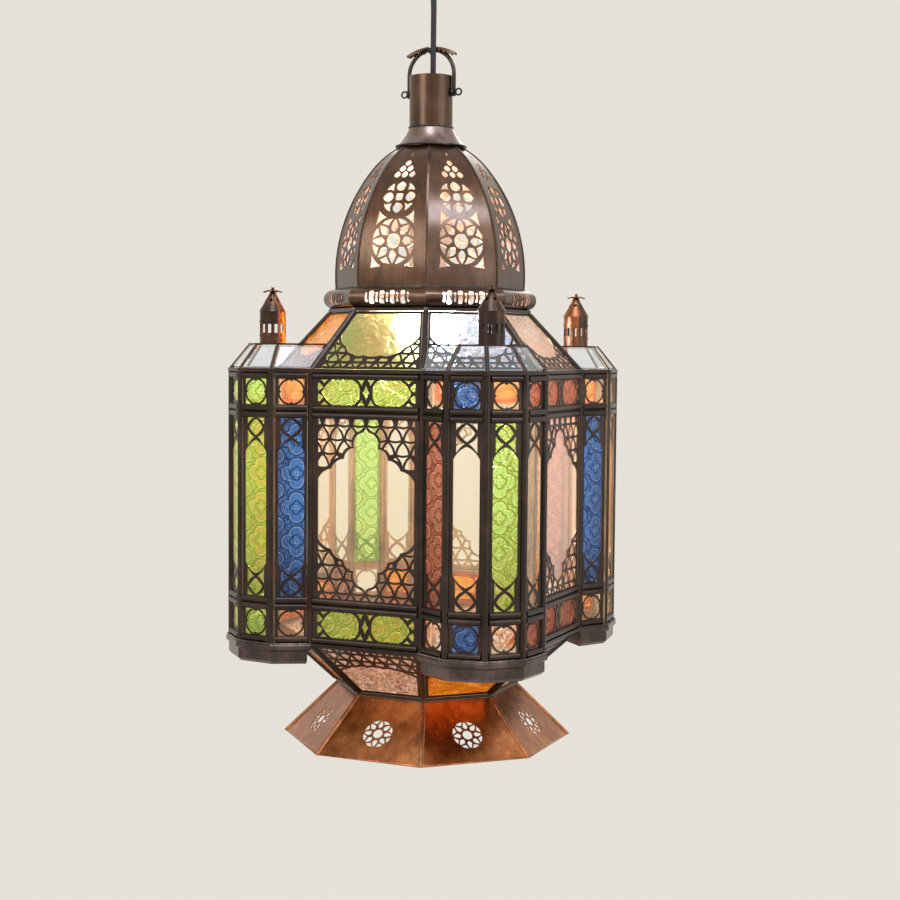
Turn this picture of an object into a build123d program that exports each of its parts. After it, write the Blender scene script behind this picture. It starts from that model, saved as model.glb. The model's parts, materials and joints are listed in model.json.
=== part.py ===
from build123d import *
import math
import os

# Hanging eight-sided fretwork lantern with four glazed turrets, a pierced dome and a flared skirt.
# Lengths are in millimetres. Heights are measured up from the skirt rim, and the finished pieces are
# lowered so that the origin is the middle of the ceiling plate's top face.

os.makedirs("parts", exist_ok=True)

# Octagon
side_count = 8
step = 360 / side_count
half_step = step / 2
flat_ratio = math.cos(math.radians(half_step))
front_corner = -90

# Storeys from the rim up
skirt_height = 52
taper_height = 55
body_height = 257
roof_height = 58
dome_height = 140
cone_height = 18
neck_height = 50

# Corner radii of the octagon at each level
rim_corner = 142
waist_corner = 88
core_corner = 150
roof_top_corner = 96
dome_ring_corner = 95
dome_base_corner = 93
dome_top_corner = 31

# Sheet, glass, rods and fits
sheet_wall = 1.0
glass_wall = 2.0
seat_gap = 0.1
fit_gap = 0.2
post_radius = 3.2
bar_radius = 2.8
seam_radius = 2.0
rail_width = 7
rail_thick = 3
bead_radius = 3.0
bead_margin = 0.2
pane_inset = 1.0
pane_lap = 3.0

# Side panels
lower_rail_rise = 38.8
upper_rail_drop = 38.1
strap = 2.1
side_border = 4.5
lattice_pitch = 15
cell_bow = 0.09
smallest_cell = 5
arch_drop = 55.4
tip_drop = 6.6
tip_half_width = 3.6

# Turrets
facet_count = 5
facet_turn = 37
facet_border = 2.6
lancet_rise = 11.5
knot_half_width = 9.8
knot_depth = 17.3
roundel_radius = 11
cusp_depth = 1.7
foot_lip = 5
foot_lip_thick = 8
foot_band = 12
foot_band_grow = 2.5
foot_bevel = 3
foot_round = 2.2
foot_wall = 1.5
cap_height = 22
cap_inset = 17
cap_plate_thick = 1.5
cap_bar_radius = 2.0
finial_reach = 160
finial_radius = 12.3
finial_tube_height = 30
finial_cone_height = 20
finial_eave = 0.8
finial_slots = 12
finial_slot_width = 3.6
finial_slot_height = 9
finial_slot_rise = 14
finial_bead = 0.6
finial_bead_height = 1.4
finial_holes = 6
finial_hole_radius = 1.6
finial_tip_radius = 1.6
finial_tip_height = 3
star_radius = 9.5
star_lobes = 8
star_thick = 1.2
star_droop = 2.2

# Dome
dome_flank_radius = 178
dome_flank_centre = 14
dome_shoulder_height = 117
rosette_radius = 22.5
rosette_height = 43.5
rosette_petals = 8
medallion_radius = 17
medallion_height = 86
bud_radius = 3.4
bud_height = 108
slit_height = 130
dome_strap = 1.7
rib_half_width = 1.0
rib_proud = 0.5
rib_depth = 1.2
ring_tube_radius = 9.5
ring_flange = 4
slot_pitch = 10.8
slot_height = 12.4
slot_width = 5.0
small_slot_height = 8.6
small_slot_width = 2.2

# Sloping grilles of the roof and the taper
slope_pitch = 13
slope_border = 2.2
roof_row = 16
roof_corner_rise = 43
taper_row = 28
taper_corner_rise = 42

# Skirt
skirt_rosette_radius = 15
skirt_rosette_rise = 30
skirt_petals = 8
skirt_strap = 1.5

# Neck and suspension
neck_radius = 21.5
neck_wall = 1.0
cone_foot_radius = 34
cone_flange_bore = 19
pin_drop = 16
pin_radius = 1.6
pin_run_gap = 0.05
pin_head_radius = 3
pin_head_thick = 1.4
pin_ring_radius = 3.0
pin_ring_wire = 0.9
bail_angle = -22.5
bail_reach = 24
bail_wire = 2.0
bail_eye_radius = 4.2
bail_eye_thick = 2.4
bail_rise = 42
leaf_half_length = 27
leaf_half_width = 7
leaf_arc_radius = 50
leaf_curl = 8
leaf_curl_turn = 65
leaf_gap = 3.6
leaf_teeth = 5
leaf_thick = 1.2
hook_wire = 1.5
hook_clear = 0.3
hook_eye_rise = 59
hook_eye_radius = 6.5
hook_tip_turn = 200
ceiling_hook_wire = 2.0
ceiling_hook_bend = 7
plate_radius = 48
plate_thick = 4
plate_drop = 54
screw_hole_radius = 2.5
screw_circle_radius = 36
cord_radius = 2.75
cord_start = (1.5, -1.5)
cord_lean = (0.012, -0.222)
cord_break = 1.6
gland_length = 16
gland_root_radius = 7
gland_mouth_radius = 4.6

# Lamp
bridge_width = 14
bridge_thick = 2
bridge_reach = 26
pipe_radius = 5
pipe_length = 84
pipe_top_rise = 8
nut_radius = 8
nut_thick = 4
holder_radius = 20
holder_length = 60
holder_bore = 14
holder_roof = 8
bulb_radius = 30
bulb_neck_radius = 15
bulb_cap_radius = 13.3
bulb_cap_length = 26
bulb_drop = 42

# Door on the back side
door_gap = 0.6
door_split = 0.3
hinge_radius = 2.4
hinge_pin_radius = 1.0
hinge_height = 8
hinge_rise = 16
hinge_leaf = 13
hinge_inset = 3.2
pull_radius = 1.8
pull_length = 6
button_length = 13
button_tail = 3
button_half_width = 2.5
button_thick = 1.2
button_pin_radius = 1.2
button_head_radius = 2.2
button_reach = 30

# Levels worked out from the storeys
waist = skirt_height
sill = waist + taper_height
eaves = sill + body_height
roof_top = eaves + roof_height
half_rail = rail_thick / 2
ring_centre = roof_top + half_rail + seat_gap + ring_tube_radius
dome_base = ring_centre + ring_tube_radius + seat_gap
dome_top = dome_base + dome_height
cone_top = dome_top + seat_gap + sheet_wall + cone_height
neck_top = cone_top + neck_height
pin_level = neck_top - pin_drop
bail_apex = pin_level + bail_rise
hook_eye = bail_apex + hook_eye_rise
ceiling = hook_eye + plate_drop
core_flat = core_corner * flat_ratio
core_half_side = core_corner * math.sin(math.radians(half_step))
lower_rail = sill + lower_rail_rise
upper_rail = eaves - upper_rail_drop
sheet_low = sill + half_rail + seat_gap
sheet_high = eaves - half_rail - seat_gap
bead_pitch = bead_radius + bead_margin
rail_edge = 2 * bead_pitch

# Sides are numbered from the one right of the front corner; even sides carry turrets
side_angles = [front_corner + half_step + step * k for k in range(side_count)]
turret_angles = side_angles[0::2]
plain_angles = side_angles[1::2]
door_angle = plain_angles[1]

# Glass colours, left to right seen from outside, for each turret and each plain side
turret_main_colours = (
    ("red", "clear", "green", "clear", "amber"),
    ("blue", "clear", "amber", "clear", "red"),
    ("amber", "clear", "green", "clear", "amber"),
    ("amber", "green", "clear", "green", "blue"),
)
turret_band_colours = (
    ("clear", "blue", "clear", "red", "clear"),
    ("clear", "clear", "clear", "amber", "clear"),
    ("clear", "amber", "clear", "red", "clear"),
    ("clear", "green", "clear", "green", "clear"),
)
side_main_colours = ("rose", "clear", "clear", "clear")
side_band_colours = ("red", "amber", "amber", "green")
roof_colours = ("blue", "rose", "blue", "rose", "amber", "green", "amber", "green")
taper_colours = ("amber", "rose")


def polar(radius, angle, height=0):
    """Point at a radius, an angle in degrees and a height."""
    turn = math.radians(angle)
    return Vector(radius * math.cos(turn), radius * math.sin(turn), height)


def save(node, solids):
    """Lower the solids under the ceiling and write them as one node."""
    placed = [Pos(0, 0, -ceiling) * solid for solid in solids]
    export_step(Compound(placed), f"parts/{node}.step")


def arc_loop(corners, bows):
    """Closed outline through the corners; each side bows outwards by its share of its length."""
    count = len(corners)
    sides = [(corners[i], corners[(i + 1) % count]) for i in range(count)]
    area = sum(a[0] * b[1] - b[0] * a[1] for a, b in sides)
    way = 1 if area >= 0 else -1
    bow_list = bows if isinstance(bows, (list, tuple)) else [bows] * count
    edges = []
    for (a, b), bow in zip(sides, bow_list):
        if bow == 0:
            edges.append(Edge.make_line(a, b))
            continue
        middle_x = (a[0] + b[0]) / 2 + way * bow * (b[1] - a[1])
        middle_y = (a[1] + b[1]) / 2 - way * bow * (b[0] - a[0])
        edges.append(Edge.make_three_point_arc(a, (middle_x, middle_y), b))
    return Wire(edges)


def plate(outline, holes, thick, back):
    """Flat plate of an outline with holes, its back face at the given local depth."""
    return Pos(0, 0, back) * extrude(Face(outline, holes), amount=thick, dir=(0, 0, 1))


def rectangle(half_width, low, high):
    """Upright rectangle outline about the middle line."""
    corners = [(-half_width, low), (half_width, low), (half_width, high), (-half_width, high)]
    return Wire.make_polygon(corners)


def rod(start, end, radius):
    """Round rod between two points."""
    along = end - start
    shape = Cylinder(radius, along.length, align=(Align.CENTER, Align.CENTER, Align.MIN))
    return Plane(origin=start, z_dir=along).location * shape


def slab(low, high):
    """Wide level slab that trims sloping rods to a storey."""
    reach = 4 * core_corner
    return Pos(0, 0, low) * Box(reach, reach, high - low, align=(Align.CENTER, Align.CENTER, Align.MIN))


def octagon(corner, low, high):
    """Eight-sided prism between two heights."""
    points = [polar(corner, front_corner + step * k) for k in range(side_count)]
    return Pos(0, 0, low) * extrude(Face(Wire.make_polygon(points)), amount=high - low, dir=(0, 0, 1))


def upright_plane(angle, middle):
    """Plane standing on a side: x runs right seen from outside, y up, z outwards."""
    return Plane(origin=middle, x_dir=polar(1, angle + 90), z_dir=polar(1, angle))


def slope_plane(angle, wide, narrow):
    """Plane of a sloping side, from its wide edge to its narrow edge, each (flat radius, height)."""
    along = polar(narrow[0] - wide[0], angle, narrow[1] - wide[1])
    across = polar(1, angle + 90)
    return Plane(origin=polar(wide[0], angle, wide[1]), x_dir=across, z_dir=across.cross(along))


def ring_bars(corner, level):
    """Eight flat bars, mitred at the corners, that make one level ring."""
    grow = rail_width / 2 / flat_ratio
    bars = []
    for angle in side_angles:
        points = [
            polar(corner - grow, angle - half_step),
            polar(corner + grow, angle - half_step),
            polar(corner + grow, angle + half_step),
            polar(corner - grow, angle + half_step),
        ]
        bar = extrude(Face(Wire.make_polygon(points)), amount=rail_thick, dir=(0, 0, 1))
        bars.append(Pos(0, 0, level - half_rail) * bar)
    return bars


def corner_rods(low_corner, low, high_corner, high, radius):
    """Rods along the eight corner lines of a storey, trimmed level at its rings."""
    trim = slab(low + half_rail + seat_gap, high - half_rail - seat_gap)
    rods = []
    for k in range(side_count):
        angle = front_corner + step * k
        rods.append(rod(polar(low_corner, angle, low), polar(high_corner, angle, high), radius) & trim)
    return rods


def bead(width, level, front):
    """Half-round moulding across a panel, its flat back on the panel's front."""
    profile = Face(arc_loop([(-bead_radius, 0), (bead_radius, 0)], [0, 0.5]))
    length = extrude(profile, amount=width, dir=(0, 0, 1))
    return Pos(-width / 2, level, front) * (Plane.YZ.location * length)


def panel(half_width, low, high, holes, bead_levels):
    """Pierced sheet with its beads."""
    sheet = plate(rectangle(half_width, low, high), holes, sheet_wall, -sheet_wall / 2)
    return Part() + [sheet] + [bead(2 * half_width, level, sheet_wall / 2) for level in bead_levels]


def pane(half_width, low, high):
    """Glass behind one window."""
    outline = rectangle(half_width - pane_inset, low, high)
    return plate(outline, [], glass_wall, -sheet_wall / 2 - seat_gap - glass_wall)


def lattice(region, pitch):
    """Holes of a six-spoke lattice of curved straps that fall inside a flat region."""
    box = region.bounding_box()
    row_height = pitch * math.sqrt(3) / 2
    shrink = 1 - (strap / 2) / (row_height / 3)
    first_row = math.floor(box.min.Y / row_height)
    last_row = math.ceil(box.max.Y / row_height)
    reach = math.ceil(max(-box.min.X, box.max.X) / pitch) + 1
    holes = []
    for row in range(first_row, last_row):
        shift = pitch / 2 * (row % 2)
        low = row * row_height
        high = low + row_height
        for column in range(-reach, reach):
            left = column * pitch + shift
            upright = [(left, low), (left + pitch, low), (left + pitch / 2, high)]
            hanging = [(left + pitch, low), (left + 1.5 * pitch, high), (left + pitch / 2, high)]
            for corners, bow in ((upright, cell_bow), (hanging, -cell_bow)):
                holes += clipped_cell(corners, bow, shrink, region)
    return holes


def clipped_cell(corners, bow, shrink, region):
    """Outlines of one lattice cell where it lies inside the region."""
    x = sum(point[0] for point in corners) / 3
    y = sum(point[1] for point in corners) / 3
    drawn = [(x + (a - x) * shrink, y + (b - y) * shrink) for a, b in corners]
    pieces = region & Face(arc_loop(drawn, bow))
    if pieces is None:
        return []
    faces = pieces.faces() if hasattr(pieces, "faces") else ShapeList(pieces).faces()
    return [face.outer_wire() for face in faces if face.area > smallest_cell]


def foiled_arch(half_width, low, high, grow):
    """Tall many-lobed opening of a plain side, pointed at both ends, grown outwards by a strap."""
    rise = arch_drop - tip_drop
    lobes = [
        (tip_half_width, tip_drop + 0.11 * rise),
        (0.25 * half_width, tip_drop + 0.41 * rise),
        (0.46 * half_width, tip_drop + 0.62 * rise),
        (0.72 * half_width, tip_drop + 0.81 * rise),
    ]
    moved = [(x + 0.6 * grow, drop - 0.8 * grow) for x, drop in lobes]
    quarter = [(0, tip_drop - 1.6 * grow)] + moved + [(half_width, arch_drop - 1.2 * grow)]
    bows = [-0.1, 0.24, 0.2, 0.16, 0.12]
    right_top = [(x, high - drop) for x, drop in quarter]
    right_low = [(x, low + drop) for x, drop in quarter]
    left_top = [(-x, y) for x, y in right_top[1:]]
    left_low = [(-x, y) for x, y in right_low[1:]]
    corners = right_low + right_top[::-1] + left_top + left_low[::-1]
    return arc_loop(corners, bows + [0] + bows[::-1] + bows + [0] + bows[::-1])


def side_window(half_width, low, high):
    """Holes of a plain side's main window: the foiled opening and lattice in the four corners."""
    middle = (low + high) / 2
    window = Face(rectangle(half_width, low - middle, high - middle))
    grown = Face(foiled_arch(half_width + strap, low - middle, high - middle, strap))
    holes = [foiled_arch(half_width, low, high, 0)]
    for corner in (window - grown).faces():
        holes += [Pos(0, middle) * cell for cell in lattice(corner, lattice_pitch)]
    return holes


def leaf_oval(way, tip, root, half_height):
    """Leaf-shaped opening with a pointed outer end and scalloped long edges."""
    shoulder = 0.78 * tip
    heel = root + 0.6 * half_height
    scallops = 5
    edge = [shoulder + (heel - shoulder) * k / scallops for k in range(scallops + 1)]
    top = [(way * x, half_height) for x in edge]
    bottom = [(way * x, -half_height) for x in edge[::-1]]
    corners = [(way * tip, 0)] + top + [(way * root, 0)] + bottom
    bows = [0.06] + [0.14] * scallops + [0.2, 0.2] + [0.14] * scallops + [0.06]
    return arc_loop(corners, bows)


def side_band(half_width, low, high):
    """Holes of a plain side's band: two leaf ovals, a middle diamond and small triangles."""
    middle = (low + high) / 2
    half_height = (high - low) / 2
    tip = half_width - 1.7 * strap
    root = 3.2 * strap
    holes = [arc_loop([(0, -4 * strap), (1.7 * strap, 0), (0, 4 * strap), (-1.7 * strap, 0)], -0.08)]
    for way in (1, -1):
        holes.append(leaf_oval(way, tip, root, half_height - 0.3 * strap))
        for up in (1, -1):
            edge = up * half_height
            heart = [(way * 0.8 * strap, edge), (way * 4.2 * strap, edge), (way * 2.1 * strap, edge * 0.5)]
            holes.append(arc_loop(heart, -0.05))
            outer = [(way * half_width, up * 0.7 * strap), (way * half_width, 0.75 * edge)]
            holes.append(arc_loop(outer + [(way * (half_width - 2.5 * strap), 0.4 * edge)], 0.08))
            corner = [(way * (half_width - strap), edge), (way * (half_width - 5 * strap), edge)]
            holes.append(arc_loop(corner + [(way * (half_width - 3 * strap), 0.72 * edge)], -0.05))
    return [Pos(0, middle) * hole for hole in holes]


def turret_window(half_width, low, high):
    """Holes of a turret's main window: a lancet with a diamond knot at each end."""
    apex = knot_depth + 1.6 * strap
    spring = apex + lancet_rise
    lancet = [
        (0, low + apex),
        (half_width, low + spring),
        (half_width, high - spring),
        (0, high - apex),
        (-half_width, high - spring),
        (-half_width, low + spring),
    ]
    holes = [arc_loop(lancet, [0.1, 0, 0.1, 0.1, 0, 0.1])]
    for end, way in ((low, 1), (high, -1)):
        holes += [arc_loop(points, bow) for points, bow in knot(end, way, apex, half_width)]
    return holes


def knot(end, way, apex, half_width):
    """Outlines of the diamond and four triangles at one end of a lancet."""
    k = knot_half_width
    waist_depth = knot_depth / 2
    foot = apex + lancet_rise * k / half_width - 1.6 * strap
    inner = k - strap
    diamond = [(0, 0.5 * strap), (inner, waist_depth), (0, knot_depth - 0.4 * strap), (-inner, waist_depth)]
    shapes = [(diamond, 0.06)]
    for hand in (1, -1):
        edge = hand * k
        middle = hand * 0.9 * strap
        shapes.append(([(edge, 0), (middle, 0), (edge, waist_depth - strap)], [0, -0.1, 0]))
        low = [(edge, waist_depth + strap), (middle, knot_depth + 0.4 * strap), (edge, foot)]
        shapes.append((low, [-0.1, -0.06, 0]))
    return [([(x, end + way * depth) for x, depth in points], bow) for points, bow in shapes]


def turret_band(half_width, low, high):
    """Holes of a turret's band: a roundel with four cusps and four corner triangles."""
    middle = (low + high) / 2
    half_height = (high - low) / 2
    lip = 9
    quarter_bow = math.tan(math.radians(90 - 2 * lip) / 4) / 2
    corners = []
    bows = []
    for quarter in range(4):
        start = 90 * quarter
        tip = polar(roundel_radius - cusp_depth, start)
        rim = [polar(roundel_radius, start + lip), polar(roundel_radius, start + 90 - lip)]
        corners += [(point.X, point.Y) for point in [tip] + rim]
        bows += [0, quarter_bow, 0]
    holes = [arc_loop(corners, bows)]
    ring = roundel_radius + 0.9 * strap
    across = math.sqrt(ring ** 2 - half_height ** 2)
    up = math.sqrt(ring ** 2 - half_width ** 2)
    chord = math.hypot(half_width - across, half_height - up)
    hollow = math.tan(math.asin(chord / 2 / ring) / 2) / 2
    for x in (1, -1):
        for y in (1, -1):
            points = [(half_width, up), (half_width, half_height), (across, half_height)]
            holes.append(arc_loop([(x * a, y * b) for a, b in points], [0, 0, -hollow]))
    return [Pos(0, middle) * hole for hole in holes]


class Slope:
    """Geometry of one sloping storey, seen from its wide edge to its narrow edge."""

    def __init__(self, wide_corner, wide_level, narrow_corner, narrow_level, row=0, corner_rise=0):
        sine = math.sin(math.radians(half_step))
        self.wide = (wide_corner * flat_ratio, wide_level)
        self.narrow = (narrow_corner * flat_ratio, narrow_level)
        self.wide_half = wide_corner * sine
        self.narrow_half = narrow_corner * sine
        self.run = self.wide[0] - self.narrow[0]
        self.rise = abs(self.narrow[1] - self.wide[1])
        self.length = math.hypot(self.run, self.rise)
        self.inward = -1 if narrow_level > wide_level else 1
        self.row = row
        self.corner_rise = corner_rise

    def half_width(self, along):
        """Half width of the storey's side at a distance from its wide edge."""
        return self.wide_half + (self.narrow_half - self.wide_half) * along / self.length

    def end_margin(self, depth):
        """Distance along the slope that keeps a layer of this depth clear of the level rings."""
        return ((half_rail + seat_gap) * self.length + depth * self.run) / self.rise

    def side_margin(self, inset):
        """Sideways distance that keeps a straight inset from the sloping edge."""
        return inset * math.hypot(self.length, self.wide_half - self.narrow_half) / self.length

    def outline(self, inset, start, end):
        """Four corners of a side, inset from its sloping edges."""
        side = self.side_margin(inset)
        low = self.half_width(start) - side
        high = self.half_width(end) - side
        return [(-low, start), (low, start), (high, end), (-high, end)]

    def location(self, angle):
        return slope_plane(angle, self.wide, self.narrow).location

    def grille(self):
        """Pierced sheet with lattice in its two wide corners and a row along its wide edge."""
        margin = self.end_margin(sheet_wall)
        far = self.length - margin
        edge = bar_radius + fit_gap
        inset = edge + slope_border
        opening = self.opening(inset, margin + self.row, far - slope_border)
        window = Face(Wire.make_polygon(self.outline(inset, margin + slope_border, self.corner_rise)))
        kept = window - Face(opening.offset_2d(strap))
        holes = [opening]
        for region in kept.faces():
            holes += lattice(region, slope_pitch)
        outer = Wire.make_polygon(self.outline(edge, margin, far))
        return plate(outer, holes, sheet_wall, -sheet_wall / 2)

    def opening(self, inset, row, end):
        """Open part of the grille: lobed over the lattice, then as wide as the side borders let it."""
        side = self.side_margin(inset)
        rise = self.corner_rise
        reach = self.half_width(rise) - side
        right = [
            (0.22 * reach, row),
            (0.50 * reach, row + 1),
            (0.74 * reach, row + 0.4 * (rise - row)),
            (reach, rise),
            (self.half_width(end) - side, end),
        ]
        left = [(-x, y) for x, y in reversed(right)]
        bows = [0.16, 0.16, 0.12, 0, 0, 0, 0.12, 0.16, 0.16, 0.1]
        return arc_loop(right + left, bows)

    def pane(self):
        """Glass on the inner face of the grille."""
        back = sheet_wall / 2 + seat_gap
        margin = self.end_margin(back + glass_wall)
        inset = bar_radius + fit_gap + pane_inset
        outer = Wire.make_polygon(self.outline(inset, margin, self.length - margin))
        inner_face = back if self.inward > 0 else -back - glass_wall
        return plate(outer, [], glass_wall, inner_face)


def rosette(radius, petals, strap_width):
    """Holes of a round flower: a middle, pointed petals and outer cells."""
    turn = 360 / petals
    heart = 0.32 * radius
    inner = heart + strap_width
    outer = radius - 0.5 * strap_width
    holes = [Wire.make_circle(heart)]
    for k in range(petals):
        angle = turn * k
        half_petal = 0.37 * turn
        petal = [
            polar(inner, angle),
            polar(0.62 * outer, angle - half_petal),
            polar(outer, angle),
            polar(0.62 * outer, angle + half_petal),
        ]
        holes.append(arc_loop([(p.X, p.Y) for p in petal], 0.08))
        between = angle + turn / 2
        spread = 0.36 * turn
        cell = [polar(0.75 * outer, between), polar(outer, between - spread), polar(outer, between + spread)]
        holes.append(arc_loop([(p.X, p.Y) for p in cell], [-0.04, 0.12, -0.04]))
    return holes


def quatrefoil(radius):
    """Holes of a round medallion: a curved square, four round cells and four cells between them."""
    middle = [polar(0.27 * radius, 45 + 90 * k) for k in range(4)]
    shapes = [(middle, 0.1)]
    for angle in (0, 90, 180, 270):
        cell = [
            polar(0.37 * radius, angle),
            polar(0.70 * radius, angle - 25),
            polar(0.99 * radius, angle),
            polar(0.70 * radius, angle + 25),
        ]
        shapes.append((cell, 0.16))
        tail = polar(0.55 * radius, angle + 45)
        rim = [polar(0.97 * radius, angle + 26), polar(0.97 * radius, angle + 64)]
        shapes.append(([tail] + rim, [-0.1, 0.12, -0.1]))
    return [arc_loop([(point.X, point.Y) for point in points], bows) for points, bows in shapes]


def flank_point(height, inset=0):
    """Point on the dome's main curve at a height over its base, as (flat radius, height)."""
    base = dome_base_corner * flat_ratio
    centre = base - math.sqrt(dome_flank_radius ** 2 - dome_flank_centre ** 2)
    up = (height - dome_flank_centre) / dome_flank_radius
    out = math.sqrt(1 - up ** 2)
    reach = dome_flank_radius - inset
    return centre + reach * out, dome_flank_centre + reach * up


def flank_tilt(height):
    """Angle of the dome's outward normal above level at a height over its base."""
    return math.degrees(math.asin((height - dome_flank_centre) / dome_flank_radius))


def dome_curve(inset):
    """Two arcs of the dome's profile, from its base to its top, moved inwards by an inset."""
    start_x, start_y = flank_point(dome_shoulder_height)
    end_x = dome_top_corner * flat_ratio
    tilt = flank_tilt(dome_shoulder_height)
    chord_angle = math.degrees(math.atan2(dome_height - start_y, end_x - start_x))
    turn = chord_angle - (tilt + 90)
    half_chord = math.hypot(end_x - start_x, dome_height - start_y) / 2
    sag = half_chord * math.tan(math.radians(turn / 2))
    middle = Vector((start_x + end_x) / 2, (start_y + dome_height) / 2) + polar(sag, tilt + turn)
    shoulder = [
        Vector(start_x, start_y) - polar(inset, tilt),
        middle - polar(inset, tilt + turn),
        Vector(end_x, dome_height) - polar(inset, tilt + 2 * turn),
    ]
    halfway = dome_shoulder_height / 2
    flank = [Vector(*flank_point(0, inset)), Vector(*flank_point(halfway, inset)), shoulder[0]]
    return flank, shoulder


def dome_strip(outer, inner, stretch):
    """Thin strip between two insets of the dome's curve, stretched sideways, as a face."""
    def arcs(inset):
        flank, shoulder = dome_curve(inset)
        return [[Vector(p.X * stretch, p.Y) for p in points] for points in (flank, shoulder)]
    edges = [Edge.make_three_point_arc(*points) for points in arcs(outer) + arcs(inner)]
    edges.append(Edge.make_line(arcs(outer)[0][0], arcs(inner)[0][0]))
    edges.append(Edge.make_line(arcs(outer)[1][2], arcs(inner)[1][2]))
    return Face(Wire(edges))


def wedge(gap, low, high):
    """Upright wedge of one eighth about the +X direction, short of its two cut planes by a gap."""
    reach = 2 * core_corner
    spread = reach * math.tan(math.radians(half_step))
    apex = gap / math.sin(math.radians(half_step))
    corners = [(apex, 0), (apex + reach, spread), (apex + reach, -spread)]
    return Pos(0, 0, low) * extrude(Face(Wire.make_polygon(corners)), amount=high - low, dir=(0, 0, 1))


def flank_frame(height):
    """Plane on the dome's outer surface at a height: x across, y up the curve, z outwards."""
    x, y = flank_point(height)
    normal = polar(1, flank_tilt(height))
    return Plane(origin=(x, 0, y), x_dir=(0, 1, 0), z_dir=(normal.X, 0, normal.Y))


def punch(frame, holes, depth):
    """Prisms that pierce a curved wall along the normal of a plane."""
    return [frame.location * (Pos(0, 0, -depth) * extrude(Face(hole), amount=2 * depth, dir=(0, 0, 1)))
            for hole in holes]


def rosette_corners(big):
    """Outlines of the four three-cornered cells round the dome's large rosette."""
    foot = [(0.55 * big, -1.05 * big), (1.02 * big, -1.12 * big), (0.98 * big, -0.55 * big)]
    shoulder = [(0.42 * big, 1.04 * big), (0.88 * big, 0.68 * big), (0.80 * big, 1.36 * big)]
    shapes = ((foot, [0, -0.05, -0.08]), (shoulder, [-0.08, 0, -0.1]))
    return [arc_loop([(hand * x, y) for x, y in points], bows) for hand in (1, -1) for points, bows in shapes]


def bud_cluster(bud):
    """Outlines of three rows of pointed cells that narrow upwards: three, two and one."""
    leaf = [(0, -1.05), (0.95, 0), (0, 1.25), (-0.95, 0)]
    places = [(2.3 * (column - (2 - row) / 2), 2.1 * row) for row in range(3) for column in range(3 - row)]
    return [arc_loop([(bud * (x + a), bud * (y + b)) for a, b in leaf], 0.12) for x, y in places]


def dome_gore():
    """One pierced curved gore of the dome, facing +X over its base."""
    strip = dome_strip(0, sheet_wall, 1)
    wall = Plane.XZ.location * extrude(strip, amount=core_corner, both=True, dir=(0, 0, 1))
    wall = wall & wedge(rib_half_width + seat_gap, -core_corner, 2 * dome_height)
    depth = 6 * sheet_wall
    flower = rosette(rosette_radius, rosette_petals, dome_strap) + rosette_corners(rosette_radius)
    tools = punch(flank_frame(rosette_height), flower, depth)
    tools += punch(flank_frame(medallion_height), quatrefoil(medallion_radius), depth)
    tools += punch(flank_frame(bud_height), bud_cluster(bud_radius), depth)
    slit = arc_loop([(0, -bud_radius), (0, bud_radius)], 0.16)
    tools += punch(flank_frame(slit_height), [slit], 3 * depth)
    return wall - tools


def dome_rib():
    """Soldered seam strip over one corner of the dome, in the +X radial plane."""
    strip = dome_strip(-rib_proud, rib_depth, 1 / flat_ratio)
    seam = Plane.XZ.location * extrude(strip, amount=rib_half_width, both=True, dir=(0, 0, 1))
    return seam & slab(0, dome_height)


def ring_segment():
    """One pierced side of the round moulding under the dome, facing +X about the ring's level."""
    middle = dome_ring_corner * flat_ratio
    tube = ring_tube_radius
    inner = tube - sheet_wall
    edges = [
        Edge.make_three_point_arc((middle, -tube), (middle + tube, 0), (middle, tube)),
        Edge.make_line((middle, tube), (middle - ring_flange, tube)),
        Edge.make_line((middle - ring_flange, tube), (middle - ring_flange, inner)),
        Edge.make_line((middle - ring_flange, inner), (middle, inner)),
        Edge.make_three_point_arc((middle, inner), (middle + inner, 0), (middle, -inner)),
        Edge.make_line((middle, -inner), (middle - ring_flange, -inner)),
        Edge.make_line((middle - ring_flange, -inner), (middle - ring_flange, -tube)),
        Edge.make_line((middle - ring_flange, -tube), (middle, -tube)),
    ]
    section = Face(Wire(edges))
    wall = Plane.XZ.location * extrude(section, amount=core_corner, both=True, dir=(0, 0, 1))
    wall = wall & wedge(0, -2 * tube, 2 * tube)
    frame = Plane(origin=(middle + tube, 0, 0), x_dir=(0, 1, 0), z_dir=(1, 0, 0))
    holes = [Pos(slot_pitch * (k - 1.5), 0) * slot(slot_width, slot_height) for k in range(4)]
    holes += [Pos(slot_pitch * (k - 2), 0) * slot(small_slot_width, small_slot_height) for k in range(5)]
    return wall - punch(frame, holes, tube)


def slot(width, height):
    """Upright slot with rounded ends and a slightly drawn-in waist."""
    x = width / 2
    y = (height - 0.5 * width) / 2
    return arc_loop([(-x, -y), (x, -y), (x, y), (-x, y)], [0.25, -0.03, 0.25, -0.03])


def around(shape, angles, level):
    """Copies of a shape that faces +X, turned to each angle and raised to a level."""
    return [Pos(0, 0, level) * (Rot(0, 0, angle) * shape) for angle in angles]


# Windows of every upright panel, from the bottom band to the top band
band_windows = (
    (sheet_low + rail_edge, lower_rail - rail_edge),
    (upper_rail + rail_edge, sheet_high - rail_edge),
)
main_window = (lower_rail + rail_edge, upper_rail - rail_edge)
lower_beads = (sheet_low + bead_pitch, lower_rail - bead_pitch)
main_beads = (lower_rail + bead_pitch, upper_rail - bead_pitch)
upper_beads = (upper_rail + bead_pitch, sheet_high - bead_pitch)
side_sheet = core_half_side - post_radius - fit_gap
side_opening = side_sheet - side_border


def side_location(angle):
    return upright_plane(angle, polar(core_flat, angle)).location


def side_panel():
    """Fixed panel of a plain side with its three windows."""
    holes = side_window(side_opening, *main_window)
    for window in band_windows:
        holes += side_band(side_opening, *window)
    return panel(side_sheet, sheet_low, sheet_high, holes, lower_beads + main_beads + upper_beads)


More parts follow.
